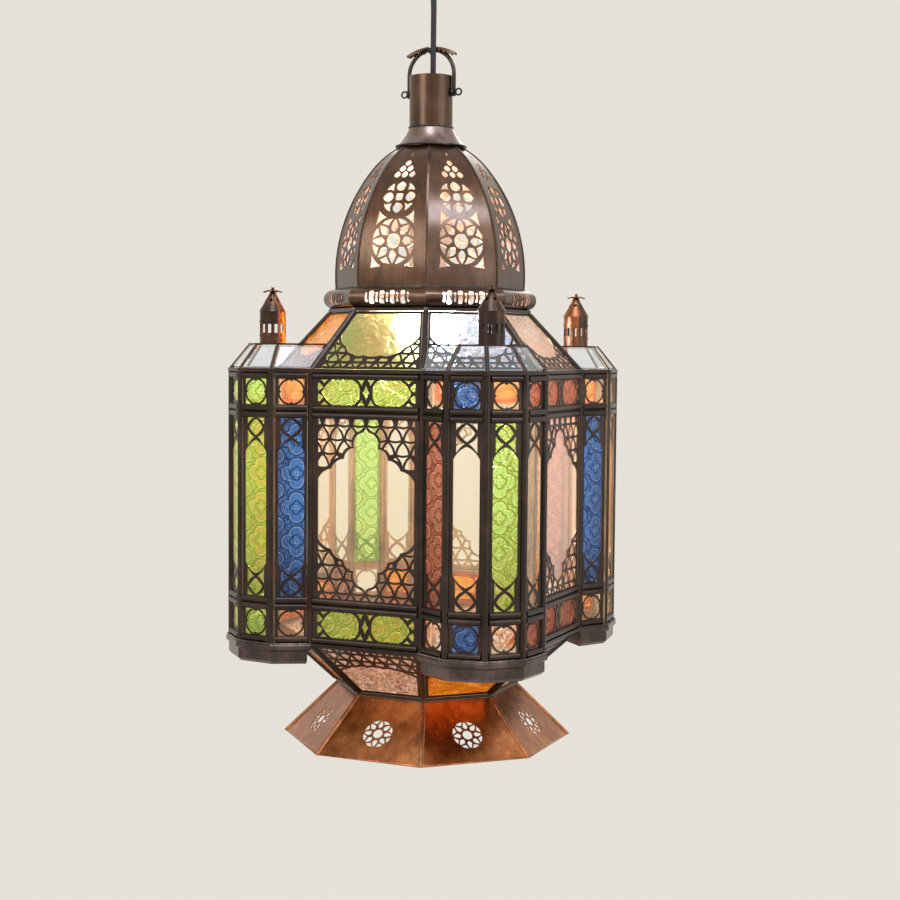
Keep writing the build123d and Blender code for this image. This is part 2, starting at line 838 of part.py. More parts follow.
def door_surround():
    """Fixed bands under and over the door, the upper one bored for the latch pin."""
    lower_holes, upper_holes = [side_band(side_opening, *window) for window in band_windows]
    lower = panel(side_sheet, sheet_low, lower_rail - door_split, lower_holes, lower_beads)
    upper = panel(side_sheet, upper_rail + door_split, sheet_high, upper_holes, upper_beads)
    bore = Pos(button_reach, upper_beads[0]) * Cylinder(button_pin_radius + seat_gap, 4 * bead_radius)
    return [lower, upper - bore]


def side_panes():
    """Panes of a plain side: the two bands and the main window."""
    bands = [pane(side_sheet, low - pane_lap, high + pane_lap) for low, high in band_windows]
    return bands, pane(side_sheet, main_window[0] - pane_lap, main_window[1] + pane_lap)


# Turret plan about the +X direction: five facets between two neighbouring core corners
facet_angles = [facet_turn * (k - (facet_count - 1) / 2) for k in range(facet_count)]
facet_length = 2 * core_half_side / sum(math.cos(math.radians(angle)) for angle in facet_angles)
facet_sheet = facet_length / 2 - post_radius - fit_gap
facet_opening = facet_sheet - facet_border
turret_corners = [Vector(core_flat, -core_half_side)]
for facet_angle in facet_angles:
    turret_corners.append(turret_corners[-1] + polar(facet_length, facet_angle + 90))


def turret_outline(grow):
    """The six plan corners moved outwards square to the facets."""
    mitre = grow / math.cos(math.radians(facet_turn / 2))
    points = [turret_corners[0] + polar(grow, facet_angles[0])]
    for k in range(1, facet_count):
        points.append(turret_corners[k] + polar(mitre, (facet_angles[k - 1] + facet_angles[k]) / 2))
    points.append(turret_corners[-1] + polar(grow, facet_angles[-1]))
    return points


def turret_face(grow, level):
    """Flat face of the grown turret plan at a level, reaching back to the middle of the core."""
    return Pos(0, 0, level) * Face(Wire.make_polygon(turret_outline(grow) + [Vector(0, 0)]))


def turret_floor(grow, low, high):
    """Prism of the grown turret plan between two levels."""
    return extrude(turret_face(grow, low), amount=high - low, dir=(0, 0, 1))


def core_body(extra, low, high):
    """Octagon of the core's rings with an extra clearance, turned so that a side faces +X."""
    reach = core_corner + (rail_width / 2 + extra) / flat_ratio
    points = [polar(reach, half_step + step * k) for k in range(side_count)]
    return Pos(0, 0, low) * extrude(Face(Wire.make_polygon(points)), amount=high - low, dir=(0, 0, 1))


def facet_location(k):
    middle = (turret_corners[k] + turret_corners[k + 1]) * 0.5
    return upright_plane(facet_angles[k], middle).location


def turret_panel():
    """One pierced facet with its three windows and its beads."""
    holes = turret_window(facet_opening, *main_window)
    for window in band_windows:
        holes += turret_band(roundel_radius + strap / 2, *window)
    return panel(facet_sheet, sheet_low, sheet_high, holes, lower_beads + main_beads + upper_beads)


def turret_panes():
    """Band and main panes of one facet."""
    bands = [pane(facet_sheet, low - pane_lap, high + pane_lap) for low, high in band_windows]
    return bands, pane(facet_sheet, main_window[0] - pane_lap, main_window[1] + pane_lap)


def turret_posts():
    """Round posts at the four free corners."""
    return [rod(corner + Vector(0, 0, sheet_low), corner + Vector(0, 0, sheet_high), post_radius)
            for corner in turret_corners[1:-1]]


def turret_crown():
    """Five flat bars, mitred at the corners, level with the eaves ring."""
    outer = turret_outline(rail_width / 2)
    inner = turret_outline(-rail_width / 2)
    clear = core_body(seat_gap, eaves - rail_thick, eaves + rail_thick)
    bars = []
    for k in range(facet_count):
        corners = [inner[k], outer[k], outer[k + 1], inner[k + 1]]
        bar = extrude(Face(Wire.make_polygon(corners)), amount=rail_thick, dir=(0, 0, 1))
        bars.append(Pos(0, 0, eaves - half_rail) * bar - clear)
    return bars


def turret_foot():
    """Shelf under a turret: a moulded lip with a hollow, bevelled band below it."""
    top = sill + half_rail
    under = top - foot_lip_thick
    low = under - foot_band
    narrow = foot_band_grow - foot_bevel
    profile = [
        (foot_lip - foot_round, top),
        (foot_lip, top - foot_round),
        (foot_lip, under + foot_round),
        (foot_band_grow, under),
        (foot_band_grow, low + foot_bevel),
        (narrow, low),
    ]
    layers = []
    for upper, lower in zip(profile, profile[1:]):
        layers.append(loft([turret_face(*lower), turret_face(*upper)], ruled=True))
    clear = core_body(seat_gap, low - 1, top + 1)
    pocket_back = core_body(seat_gap + foot_wall, low - 1, top + 1)
    pocket = turret_floor(narrow - foot_wall, low - 1, under) - pocket_back
    return Part() + layers - clear - pocket


# Cap of a turret: it starts on the crown and leans back to the roof
cap_low = eaves + half_rail + seat_gap
cap_high = cap_low + cap_height
roof = Slope(core_corner, eaves, roof_top_corner, roof_top, roof_row, roof_corner_rise)
taper = Slope(core_corner, sill, waist_corner, waist, taper_row, taper_corner_rise)
skirt = Slope(rim_corner, 0, waist_corner, waist)


def roof_cover(depth):
    """Everything under the roof side that faces +X, up to a depth over its sheet."""
    size = 2 * core_corner
    block = Box(2 * size, 2 * size, size, align=(Align.CENTER, Align.CENTER, Align.MAX))
    return roof.location(0) * (Pos(0, 0, depth) * block)


def hip_bars(grow):
    """The two roof bars beside the side that faces +X, grown by a clearance."""
    bars = []
    for angle in (half_step, -half_step):
        foot = polar(core_corner, angle, eaves)
        head = polar(roof_top_corner, angle, roof_top)
        bars.append(rod(foot, head, bar_radius + grow))
    return bars


def cap_panes():
    """Five leaning panes of a cap, trimmed where they meet the roof."""
    slope = math.hypot(cap_height, cap_inset)
    lean_in = cap_inset * math.tan(math.radians(facet_turn / 2)) / slope
    inset = cap_bar_radius + 2 * fit_gap
    lift = seat_gap + glass_wall * cap_inset / cap_height
    panes = []
    for k, angle in enumerate(facet_angles):
        middle = (turret_corners[k] + turret_corners[k + 1]) * 0.5 + Vector(0, 0, cap_low)
        lean = polar(-cap_inset, angle, cap_height)
        across = polar(1, angle + 90)
        frame = Plane(origin=middle, x_dir=across, z_dir=across.cross(lean))
        left = facet_length * (1 if k == 0 else 0.5) - inset
        right = facet_length * (1 if k == facet_count - 1 else 0.5) - inset
        far = slope - lift
        low = lean_in * lift
        high = lean_in * far
        corners = [(low - left, lift), (right - low, lift), (right - high, far), (high - left, far)]
        glass = frame.location * plate(Wire.make_polygon(corners), [], glass_wall, -glass_wall / 2)
        panes.append(glass - [roof_cover(sheet_wall)] - hip_bars(fit_gap))
    return panes


def cap_bars():
    """Round bars along the four free corners of a cap."""
    trim = slab(cap_low, cap_high)
    top = turret_outline(-cap_inset)
    bars = []
    for k in range(1, facet_count):
        start = turret_corners[k] + Vector(0, 0, cap_low)
        end = top[k] + Vector(0, 0, cap_high)
        over = (end - start) * 0.1
        bars.append(rod(start - over, end + over, cap_bar_radius) & trim)
    return bars


def cap_plate():
    """Flat top of a cap, trimmed where it meets the roof."""
    low = cap_high + seat_gap
    flat = turret_floor(cap_bar_radius - cap_inset, low, low + cap_plate_thick)
    return flat - roof_cover(sheet_wall) - hip_bars(fit_gap)


def finial():
    """Pierced tube and cone on top of a cap."""
    base = cap_high + 2 * seat_gap + cap_plate_thick
    shoulder = base + finial_tube_height
    tip = shoulder + finial_cone_height
    inner = finial_radius - sheet_wall
    outline = [(inner, base), (finial_radius, base)]
    ledge = (finial_slot_height + finial_bead_height) / 2 + finial_bead_height
    for level in (base + finial_slot_rise - ledge, base + finial_slot_rise + ledge):
        low = level - finial_bead_height / 2
        high = level + finial_bead_height / 2
        out = finial_radius + finial_bead
        outline += [(finial_radius, low), (out, low), (out, high), (finial_radius, high)]
    outline += [
        (finial_radius, shoulder),
        (finial_radius + finial_eave, shoulder),
        (finial_tip_radius, tip),
        (finial_tip_radius, tip + finial_tip_height),
        (0, tip + finial_tip_height),
        (0, tip - 1.5 * sheet_wall),
        (inner, shoulder),
    ]
    shell = revolve(Plane.XZ.location * Face(Wire.make_polygon(outline)), Axis.Z)
    cuts = []
    frame = Plane(origin=(0, 0, base + finial_slot_rise), x_dir=polar(1, 90), z_dir=(1, 0, 0))
    mouth = Face(slot(finial_slot_width, finial_slot_height))
    cut = frame.location * extrude(mouth, amount=2 * finial_radius, dir=(0, 0, 1))
    for k in range(finial_slots):
        cuts.append(Rot(0, 0, 360 / finial_slots * k) * cut)
    for k in range(finial_holes):
        end = polar(finial_radius, 360 / finial_holes * k, tip)
        cuts.append(rod(Vector(0, 0, shoulder), end, finial_hole_radius))
    return Pos(finial_reach, 0, 0) * (shell - cuts)


def finial_star():
    """Star with drooping points on the finial's tip."""
    tip = cap_high + 2 * seat_gap + cap_plate_thick + finial_tube_height + finial_cone_height
    level = tip + seat_gap
    bore = finial_tip_radius + seat_gap
    points = []
    for k in range(star_lobes):
        arm = polar(star_radius, 360 / star_lobes * k)
        notch = polar(0.5 * star_radius, 360 / star_lobes * (k + 0.5))
        points += [(arm.X, arm.Y), (notch.X, notch.Y)]
    blank = plate(arc_loop(points, -0.05), [], 2 * star_droop + star_thick, level - star_droop)
    section = [
        (bore, level),
        (star_radius, level - star_droop),
        (star_radius, level - star_droop + star_thick),
        (bore, level + star_thick),
    ]
    dish = revolve(Plane.XZ.location * Face(Wire.make_polygon(section)), Axis.Z)
    return Pos(finial_reach, 0, 0) * (blank & dish)


def skirt_panel():
    """One pierced side of the skirt with its medallion."""
    far = skirt.length - skirt.end_margin(sheet_wall)
    outer = Wire.make_polygon(skirt.outline(seam_radius + fit_gap, 0, far))
    flower = rosette(skirt_rosette_radius, skirt_petals, skirt_strap)
    holes = [Pos(0, skirt_rosette_rise) * hole for hole in flower]
    return plate(outer, holes, sheet_wall, -sheet_wall / 2)


def skirt_seams():
    """Soldered seams along the skirt's corners."""
    trim = slab(0, waist - half_rail - seat_gap)
    seams = []
    for k in range(side_count):
        angle = front_corner + step * k
        seams.append(rod(polar(rim_corner, angle, 0), polar(waist_corner, angle, waist), seam_radius) & trim)
    return seams


def neck_cone():
    """Flared collar between the dome and the neck, with a flat flange inside its foot."""
    low = dome_top + seat_gap
    seat = low + sheet_wall
    inner_foot = cone_foot_radius - 1.4 * sheet_wall
    inner_top = neck_radius - neck_wall
    waist_level = (seat + cone_top) / 2
    waist_outer = (cone_foot_radius + neck_radius) / 2 - 0.09 * cone_height
    waist_inner = waist_outer - 1.2 * sheet_wall
    edges = [
        Edge.make_line((cone_flange_bore, low), (cone_foot_radius, low)),
        Edge.make_line((cone_foot_radius, low), (cone_foot_radius, seat)),
        Edge.make_three_point_arc(
            (cone_foot_radius, seat), (waist_outer, waist_level), (neck_radius, cone_top)),
        Edge.make_line((neck_radius, cone_top), (inner_top, cone_top)),
        Edge.make_three_point_arc((inner_top, cone_top), (waist_inner, waist_level), (inner_foot, seat)),
        Edge.make_line((inner_foot, seat), (cone_flange_bore, seat)),
        Edge.make_line((cone_flange_bore, seat), (cone_flange_bore, low)),
    ]
    return revolve(Plane.XZ.location * Face(Wire(edges)), Axis.Z)


# Frame of the suspension: x along the bail's axis, y upwards, z towards the front
bail_along = polar(1, bail_angle)
bail_frame = Plane(origin=(0, 0, 0), x_dir=bail_along, z_dir=polar(1, bail_angle - 90))
side_frame = Plane(origin=(0, 0, 0), x_dir=polar(1, bail_angle + 90), z_dir=bail_along)


def wire(frame, edges, radius):
    """Round wire along a flat path in a frame."""
    path = Wire(edges)
    start = path @ 0
    section = Plane(origin=start, z_dir=path % 0) * Circle(radius)
    return frame.location * sweep(section, path=path)


def neck_tube():
    """Open neck with two holes for the bail pins."""
    low = cone_top + seat_gap
    inner = neck_radius - neck_wall
    outline = [(inner, low), (neck_radius, low), (neck_radius, neck_top), (inner, neck_top)]
    tube = revolve(Plane.XZ.location * Face(Wire.make_polygon(outline)), Axis.Z)
    reach = bail_along * (2 * neck_radius)
    level = Vector(0, 0, pin_level)
    return tube - rod(level - reach, level + reach, pin_radius + pin_run_gap)


def bail_pin(hand):
    """Pin with a flat head inside the neck and a ring head outside the bail's eye."""
    inner = math.sqrt((neck_radius - neck_wall) ** 2 - pin_head_radius ** 2) - seat_gap
    ring = bail_reach + bail_eye_thick / 2 + pin_run_gap + pin_ring_wire + pin_ring_radius
    level = Vector(0, 0, pin_level)
    out = bail_along * hand
    shaft = rod(level + out * (inner - pin_head_thick), level + out * (ring - pin_ring_radius), pin_radius)
    head = rod(level + out * (inner - pin_head_thick), level + out * inner, pin_head_radius)
    eye_plane = Plane(origin=level + out * ring, x_dir=bail_along, z_dir=bail_frame.z_dir)
    eye = eye_plane.location * Torus(pin_ring_radius, pin_ring_wire)
    return shaft + head + eye


def bail():
    """Wire bow with a flat bored eye on each pin."""
    spring = bail_apex - bail_reach
    low = pin_level + 0.7 * bail_eye_radius
    edges = [
        Edge.make_line((-bail_reach, low), (-bail_reach, spring)),
        Edge.make_three_point_arc((-bail_reach, spring), (0, bail_apex), (bail_reach, spring)),
        Edge.make_line((bail_reach, spring), (bail_reach, low)),
    ]
    bow = wire(bail_frame, edges, bail_wire)
    level = Vector(0, 0, pin_level)
    for hand in (1, -1):
        middle = bail_along * (hand * bail_reach)
        half = bail_along * (bail_eye_thick / 2)
        bow = bow + rod(level + middle - half, level + middle + half, bail_eye_radius)
    reach = bail_along * (2 * bail_reach)
    return bow - rod(level - reach, level + reach, pin_radius + pin_run_gap)


def leaf_sheet():
    """Curled ring of sheet that lies on the bail's top and bends down to both ends."""
    top = bail_apex + bail_wire + seat_gap + leaf_thick
    centre = Vector(0, top - leaf_curl)
    turns = (90 - leaf_curl_turn, 90, 90 + leaf_curl_turn)
    outer = [centre + polar(leaf_curl, turn) for turn in turns]
    inner = [centre + polar(leaf_curl - leaf_thick, turn) for turn in turns]
    edges = [
        Edge.make_three_point_arc(*outer),
        Edge.make_line(outer[2], inner[2]),
        Edge.make_three_point_arc(*inner[::-1]),
        Edge.make_line(inner[0], outer[0]),
    ]
    section = side_frame.location * Face(Wire(edges))
    return revolve(section, Axis((0, 0, top - leaf_arc_radius), bail_frame.z_dir))


def leaf_wing(hand):
    """One serrated wing of the leaf."""
    tooth = (leaf_half_length - leaf_gap) / leaf_teeth
    upper = [(leaf_gap, leaf_half_width / 2)]
    for k in range(leaf_teeth):
        reach = leaf_half_width * math.sin(math.pi * (0.3 + 0.62 * k / leaf_teeth))
        upper += [(leaf_gap + tooth * (k + 0.55), reach), (leaf_gap + tooth * (k + 0.75), 0.72 * reach)]
    tip = [(leaf_half_length, 0)]
    lower = [(x, -y) for x, y in reversed(upper)]
    outline = arc_loop([(hand * x, y) for x, y in upper + tip + lower], 0)
    blank = extrude(Face(outline), amount=2 * leaf_half_length, dir=(0, 0, 1))
    return leaf_sheet() & (Pos(0, 0, bail_apex - leaf_half_length) * (Rot(0, 0, bail_angle) * blank))


def hanging_hook():
    """Wire hook under the bail with an eye at its top."""
    radius = bail_wire + hook_clear + hook_wire
    foot = hook_eye - hook_eye_radius
    lean = math.degrees(math.asin(radius / (foot - bail_apex)))
    centre = Vector(0, bail_apex)
    ends = [centre + polar(radius, lean - turn) for turn in (0, hook_tip_turn / 2, hook_tip_turn)]
    edges = [Edge.make_line((0, foot), ends[0]), Edge.make_three_point_arc(*ends)]
    eye = side_frame.location * (Pos(0, hook_eye) * Torus(hook_eye_radius, hook_wire))
    return wire(side_frame, edges, hook_wire) + eye


def ceiling_hook():
    """Wire hook that hangs from the ceiling plate and holds the eye."""
    low = hook_eye + hook_eye_radius - hook_wire - hook_clear - ceiling_hook_wire
    bend = low + ceiling_hook_bend
    top = ceiling - plate_thick - seat_gap
    edges = [
        Edge.make_line((ceiling_hook_bend, top), (ceiling_hook_bend, bend)),
        Edge.make_three_point_arc((ceiling_hook_bend, bend), (0, low), (-ceiling_hook_bend, bend)),
        Edge.make_line((-ceiling_hook_bend, bend), (-ceiling_hook_bend, bend + ceiling_hook_bend)),
    ]
    return wire(bail_frame, edges, ceiling_hook_wire)


def ceiling_plate():
    """Round plate with two screw holes."""
    holes = [Pos(hand * screw_circle_radius, 0) * Wire.make_circle(screw_hole_radius) for hand in (1, -1)]
    return plate(Wire.make_circle(plate_radius), holes, plate_thick, ceiling - plate_thick)


# Cord from the gland on the ceiling plate down into the neck
cord_low = pin_level + cord_break
cord_way = Vector(cord_lean[0], cord_lean[1], 1)
plate_under = ceiling - plate_thick - seat_gap
cord_foot = Vector(cord_start[0], cord_start[1], cord_low)
cord_unit = cord_way.normalized()
gland_root = cord_foot + cord_way * (plate_under - cord_low)
gland_mouth = gland_root - cord_unit * gland_length


def power_cord():
    return rod(cord_foot, gland_mouth - cord_unit * seat_gap, cord_radius)


def cord_gland():
    """Tapered gland that holds the cord at the plate."""
    upwards = (Align.CENTER, Align.CENTER, Align.MIN)
    cone = Cone(gland_mouth_radius, gland_root_radius, gland_length, align=upwards)
    collar = Pos(0, 0, gland_length) * Cylinder(gland_root_radius, gland_root_radius, align=upwards)
    whole = Plane(origin=gland_mouth, z_dir=cord_way).location * (cone + collar)
    return whole & slab(0, plate_under)


# Lamp hung from the cone's flange
bridge_top = dome_top
pipe_top = bridge_top + pipe_top_rise
pipe_low = pipe_top - pipe_length
holder_low = pipe_low - seat_gap - holder_length
bulb_centre = holder_low - bulb_drop


def lamp_bridge():
    """Strip across the flange's bore with the pipe and its nut."""
    strip = Box(2 * bridge_reach, bridge_width, bridge_thick, align=(Align.CENTER, Align.CENTER, Align.MAX))
    pipe = rod(Vector(0, 0, pipe_low), Vector(0, 0, pipe_top), pipe_radius)
    nut = rod(Vector(0, 0, bridge_top - bridge_thick - nut_thick), Vector(0, 0, bridge_top), nut_radius)
    return Rot(0, 0, bail_angle) * (Pos(0, 0, bridge_top) * strip) + pipe + nut


def lamp_holder():
    """Socket with a closed roof."""
    top = holder_low + holder_length
    outer = rod(Vector(0, 0, holder_low), Vector(0, 0, top), holder_radius)
    bore = rod(Vector(0, 0, holder_low - 1), Vector(0, 0, top - holder_roof), holder_bore)
    return outer - bore


def bulb_cap():
    return rod(Vector(0, 0, holder_low), Vector(0, 0, holder_low + bulb_cap_length), bulb_cap_radius)


def bulb_outline(wall):
    """Half outline of the lamp, moved inwards by a wall: a ball with a tangent neck."""
    rise = holder_low - seat_gap - bulb_centre
    ball = bulb_radius - wall
    neck = bulb_neck_radius - wall
    angle = math.degrees(math.atan2(rise, neck) - math.acos(ball / math.hypot(rise, neck)))
    middle = Vector(0, bulb_centre)
    join = middle + polar(ball, angle)
    low = middle - Vector(0, ball)
    belly = middle + polar(ball, (angle - 90) / 2)
    return Vector(neck, bulb_centre + rise), join, belly, low


def bulb():
    """Thin pear-shaped lamp, open where its cap closes it."""
    top, join, belly, low = bulb_outline(0)
    inner_top, inner_join, inner_belly, inner_low = bulb_outline(sheet_wall)
    edges = [
        Edge.make_line(inner_top, top),
        Edge.make_line(top, join),
        Edge.make_three_point_arc(join, belly, low),
        Edge.make_line(low, inner_low),
        Edge.make_three_point_arc(inner_low, inner_belly, inner_join),
        Edge.make_line(inner_join, inner_top),
    ]
    return revolve(Plane.XZ.location * Face(Wire(edges)), Axis.Z)


def lamp_lead():
    """Short cord from under the bail pins down to the pipe."""
    start = Vector(cord_start[0], cord_start[1], pin_level - cord_break)
    return rod(Vector(cord_start[0], cord_start[1], pipe_top + seat_gap), start, cord_radius)


# Door: hinge axis in the side's own plane
door_half = core_half_side - post_radius - door_gap
hinge_across = core_half_side - post_radius - hinge_inset
hinge_front = sheet_wall / 2 + pin_run_gap + hinge_radius
door_low = lower_rail + door_split
door_high = upper_rail - door_split
hinge_levels = (door_low + hinge_rise, door_high - hinge_rise - hinge_height)


def door_panel():
    """Pierced door sheet with its beads and pull."""
    sheet = panel(door_half, door_low, door_high, side_window(side_opening, *main_window), main_beads)
    across = (side_opening + door_half) / 2
    pull = Pos(across, (door_low + door_high) / 2, sheet_wall / 2) * Cylinder(
        pull_radius, pull_length, align=(Align.CENTER, Align.CENTER, Align.MIN))
    return sheet + pull


def door_pane():
    return pane(door_half, main_window[0] - pane_lap, main_window[1] + pane_lap)


def barrel(low, high, radius):
    """Upright cylinder on the hinge axis, in the side's own frame."""
    shape = Cylinder(radius, high - low, align=(Align.CENTER, Align.CENTER, Align.MIN))
    return Pos(-hinge_across, low, hinge_front) * (Rot(-90, 0, 0) * shape)


def door_knuckle(low):
    """Moving half of a hinge: a leaf on the door and a bored barrel."""
    high = low + hinge_height
    leaf = Pos(-hinge_across, low, hinge_front - hinge_radius) * Box(
        hinge_leaf, hinge_height, sheet_wall, align=(Align.MIN, Align.MIN, Align.MIN))
    return leaf + barrel(low, high, hinge_radius) - barrel(low - 1, high + 1, hinge_pin_radius + pin_run_gap)


def fixed_knuckle(low):
    """Fixed half of a hinge under the moving one: a bored barrel with a lug to the post."""
    high = low - pin_run_gap
    foot = high - hinge_height
    lug_length = core_half_side - hinge_across
    lug = Pos(-hinge_across, foot, hinge_front) * Box(
        lug_length, hinge_height, hinge_radius, align=(Align.MAX, Align.MIN, Align.CENTER))
    post = Pos(-core_half_side, foot - 1, 0) * (Rot(-90, 0, 0) * Cylinder(
        post_radius + seat_gap, hinge_height + 2, align=(Align.CENTER, Align.CENTER, Align.MIN)))
    bore = barrel(foot - 1, high + 1, hinge_pin_radius + pin_run_gap)
    bored = barrel(foot, high, hinge_radius) + lug - bore
    return bored - post


def hinge_pin(low):
    """Headed pin through both halves of a hinge."""
    foot = low - pin_run_gap - hinge_height
    high = low + hinge_height + pin_run_gap
    return barrel(foot, high, hinge_pin_radius) + barrel(high, high + hinge_pin_radius, hinge_radius)


button_back = sheet_wall / 2 + bead_radius + fit_gap


def latch_button():
    """Turn button that lies along the bead and turns down over the door."""
    outline = rectangle(button_half_width, -button_tail, button_length)
    bar = plate(outline, [Wire.make_circle(button_pin_radius + pin_run_gap)], button_thick, button_back)
    return Pos(button_reach, upper_beads[0]) * (Rot(0, 0, -90) * bar)


def latch_pin():
    """Headed stud through the fixed bead."""
    back = -sheet_wall / 2
    head = button_back + button_thick + pin_run_gap
    stud = Cylinder(button_pin_radius, head - back, align=(Align.CENTER, Align.CENTER, Align.MIN))
    cap = Cylinder(button_head_radius, sheet_wall, align=(Align.CENTER, Align.CENTER, Align.MIN))
    return Pos(button_reach, upper_beads[0]) * (Pos(0, 0, back) * stud + Pos(0, 0, head) * cap)


# Suspension
save("ceiling_plate", [ceiling_plate()])
save("ceiling_hook", [ceiling_hook()])
save("cord_gland", [cord_gland()])
save("power_cord", [power_cord()])
save("hanging_hook", [hanging_hook()])
save("bail", [bail()])
save("bail_leaf", [leaf_wing(1), leaf_wing(-1)])
save("bail_pins", [bail_pin(1), bail_pin(-1)])

# Top
save("neck_tube", [neck_tube()])
save("neck_cone", [neck_cone()])
save("dome_gores", around(dome_gore(), side_angles, dome_base))
save("dome_ribs", around(dome_rib(), [angle + half_step for angle in side_angles], dome_base))
save("dome_ring", around(ring_segment(), side_angles, ring_centre))
save("roof_top_ring", ring_bars(roof_top_corner, roof_top))
save("roof_bars", corner_rods(core_corner, eaves, roof_top_corner, roof_top, bar_radius))
roof_grille = roof.grille()
save("roof_grilles", [roof.location(angle) * roof_grille for angle in side_angles])
for colour in sorted(set(roof_colours)):
    angles = [angle for angle, name in zip(side_angles, roof_colours) if name == colour]
    save(f"roof_glass_{colour}", [roof.location(angle) * roof.pane() for angle in angles])

# Core
save("body_rings", ring_bars(core_corner, eaves) + ring_bars(core_corner, sill))
save("core_posts", corner_rods(core_corner, sill, core_corner, eaves, post_radius))
fixed_side = side_panel()
fixed_angles = [angle for angle in plain_angles if angle != door_angle]
side_panels = [side_location(angle) * fixed_side for angle in fixed_angles]
side_panels += [side_location(door_angle) * band for band in door_surround()]
save("side_panels", side_panels)

# Turrets
facet = turret_panel()
facets = [facet_location(k) * facet for k in range(facet_count)]
for number, angle in enumerate(turret_angles, start=1):
    save(f"turret_{number}_panels", around(Compound(facets), [angle], 0))
turret_sets = {
    "turret_posts": turret_posts(),
    "turret_crowns": turret_crown(),
    "turret_feet": [turret_foot()],
    "cap_bars": cap_bars(),
    "cap_glass": cap_panes(),
    "cap_plates": [cap_plate()],
    "finials": [finial()],
    "finial_stars": [finial_star()],
}
for node, solids in turret_sets.items():
    save(node, [turned for solid in solids for turned in around(solid, turret_angles, 0)])

# Window glass, gathered by colour
window_glass = {}
band_panes, main_pane = turret_panes()
for angle, mains, bands in zip(turret_angles, turret_main_colours, turret_band_colours):
    for k in range(facet_count):
        place = Rot(0, 0, angle) * facet_location(k)
        window_glass.setdefault(mains[k], []).append(place * main_pane)
        window_glass.setdefault(bands[k], []).extend(place * glass for glass in band_panes)
band_panes, main_pane = side_panes()
for angle, main, band in zip(plain_angles, side_main_colours, side_band_colours):
    window_glass.setdefault(band, []).extend(side_location(angle) * glass for glass in band_panes)
    if angle != door_angle:
        window_glass.setdefault(main, []).append(side_location(angle) * main_pane)
for colour, panes in window_glass.items():
    save(f"window_glass_{colour}", panes)

# Bottom
save("taper_bars", corner_rods(waist_corner, waist, core_corner, sill, bar_radius))
taper_grille = taper.grille()
save("taper_grilles", [taper.location(angle) * taper_grille for angle in side_angles])
for start, colour in enumerate(taper_colours):
    save(f"taper_glass_{colour}", [taper.location(angle) * taper.pane() for angle in side_angles[start::2]])
save("waist_ring", ring_bars(waist_corner, waist))
skirt_side = skirt_panel()
save("skirt_panels", [(skirt.location(angle) * skirt_side) & slab(0, waist) for angle in side_angles])
save("skirt_seams", skirt_seams())

# Lamp
save("lamp_bridge", [lamp_bridge()])
save("lamp_holder", [lamp_holder()])
save("bulb_cap", [bulb_cap()])
save("bulb", [bulb()])
save("lamp_lead", [lamp_lead()])

# Door and latch on the back side
door_place = side_location(door_angle)
save("door_panel", [door_place * door_panel()])
save("door_glass", [door_place * door_pane()])
save("door_hinges", [door_place * door_knuckle(level) for level in hinge_levels])
save("hinge_knuckles", [door_place * fixed_knuckle(level) for level in hinge_levels])
save("hinge_pins", [door_place * hinge_pin(level) for level in hinge_levels])
save("latch_button", [door_place * latch_button()])
save("latch_pin", [door_place * latch_pin()])
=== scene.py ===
import json
import math

import bmesh
import bpy
from mathutils import Matrix, Vector


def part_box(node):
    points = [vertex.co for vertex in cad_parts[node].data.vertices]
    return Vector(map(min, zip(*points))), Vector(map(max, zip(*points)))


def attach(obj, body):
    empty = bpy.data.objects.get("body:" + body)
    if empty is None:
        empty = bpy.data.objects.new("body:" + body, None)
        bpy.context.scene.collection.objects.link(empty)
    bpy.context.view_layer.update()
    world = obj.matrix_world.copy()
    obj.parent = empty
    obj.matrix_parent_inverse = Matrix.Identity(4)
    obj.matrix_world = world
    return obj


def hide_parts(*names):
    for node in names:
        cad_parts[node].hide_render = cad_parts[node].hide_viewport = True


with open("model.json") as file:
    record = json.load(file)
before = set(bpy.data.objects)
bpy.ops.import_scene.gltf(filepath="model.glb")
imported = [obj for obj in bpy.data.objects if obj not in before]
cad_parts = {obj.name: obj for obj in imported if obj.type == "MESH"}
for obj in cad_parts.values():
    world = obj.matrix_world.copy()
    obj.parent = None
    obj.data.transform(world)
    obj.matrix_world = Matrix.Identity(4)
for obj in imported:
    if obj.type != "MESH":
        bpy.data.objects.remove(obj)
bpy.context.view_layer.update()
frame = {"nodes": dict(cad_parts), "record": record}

nodes = frame["nodes"]
slot_of = {part["node"]: part["material_slot"] for part in frame["record"]["subparts"]}

# Levels and radii repeated from the part's source, in metres, with the ceiling plate's top face at nought
ceiling_height = 0.7908
pin_level = 0.6358 - ceiling_height
eaves_level = 0.364 - ceiling_height
sill_level = 0.107 - ceiling_height
rim_level = -ceiling_height
half_rail = 0.0015
core_corner_radius = 0.150
rim_corner_radius = 0.142
roof_top_corner_radius = 0.096
roof_top_level = 0.422 - ceiling_height
cone_foot_radius = 0.034
cone_foot_level = 0.5833 - ceiling_height
neck_radius = 0.0215
cone_top_level = 0.6019 - ceiling_height
dome_corner_radius = 0.093
dome_base_level = 0.4432 - ceiling_height

# Plan of the body and its turrets, in degrees
half_step = 22.5
turret_angles = (-67.5, 22.5, 112.5, 202.5)
turret_facets = 5
facet_turn = 37

# Camera fitted to the photograph
camera_distance = 1.6277
camera_height = 0.3842 - ceiling_height
camera_azimuth = math.radians(2.1)
camera_pitch = math.radians(3.5)
camera_yaw = math.radians(0.747)
camera_roll = math.radians(0.48)
focal_pixels = 1637
frame_pixels = 900
sensor_width = 36

# Mains cord, as in the part's source
cord_foot = Vector((0.0015, -0.0015, pin_level + 0.0016))
cord_way = Vector((0.012, -0.222, 1.0))
plate_under = -0.0041
gland_length = 0.016
cord_diameter = 0.0055


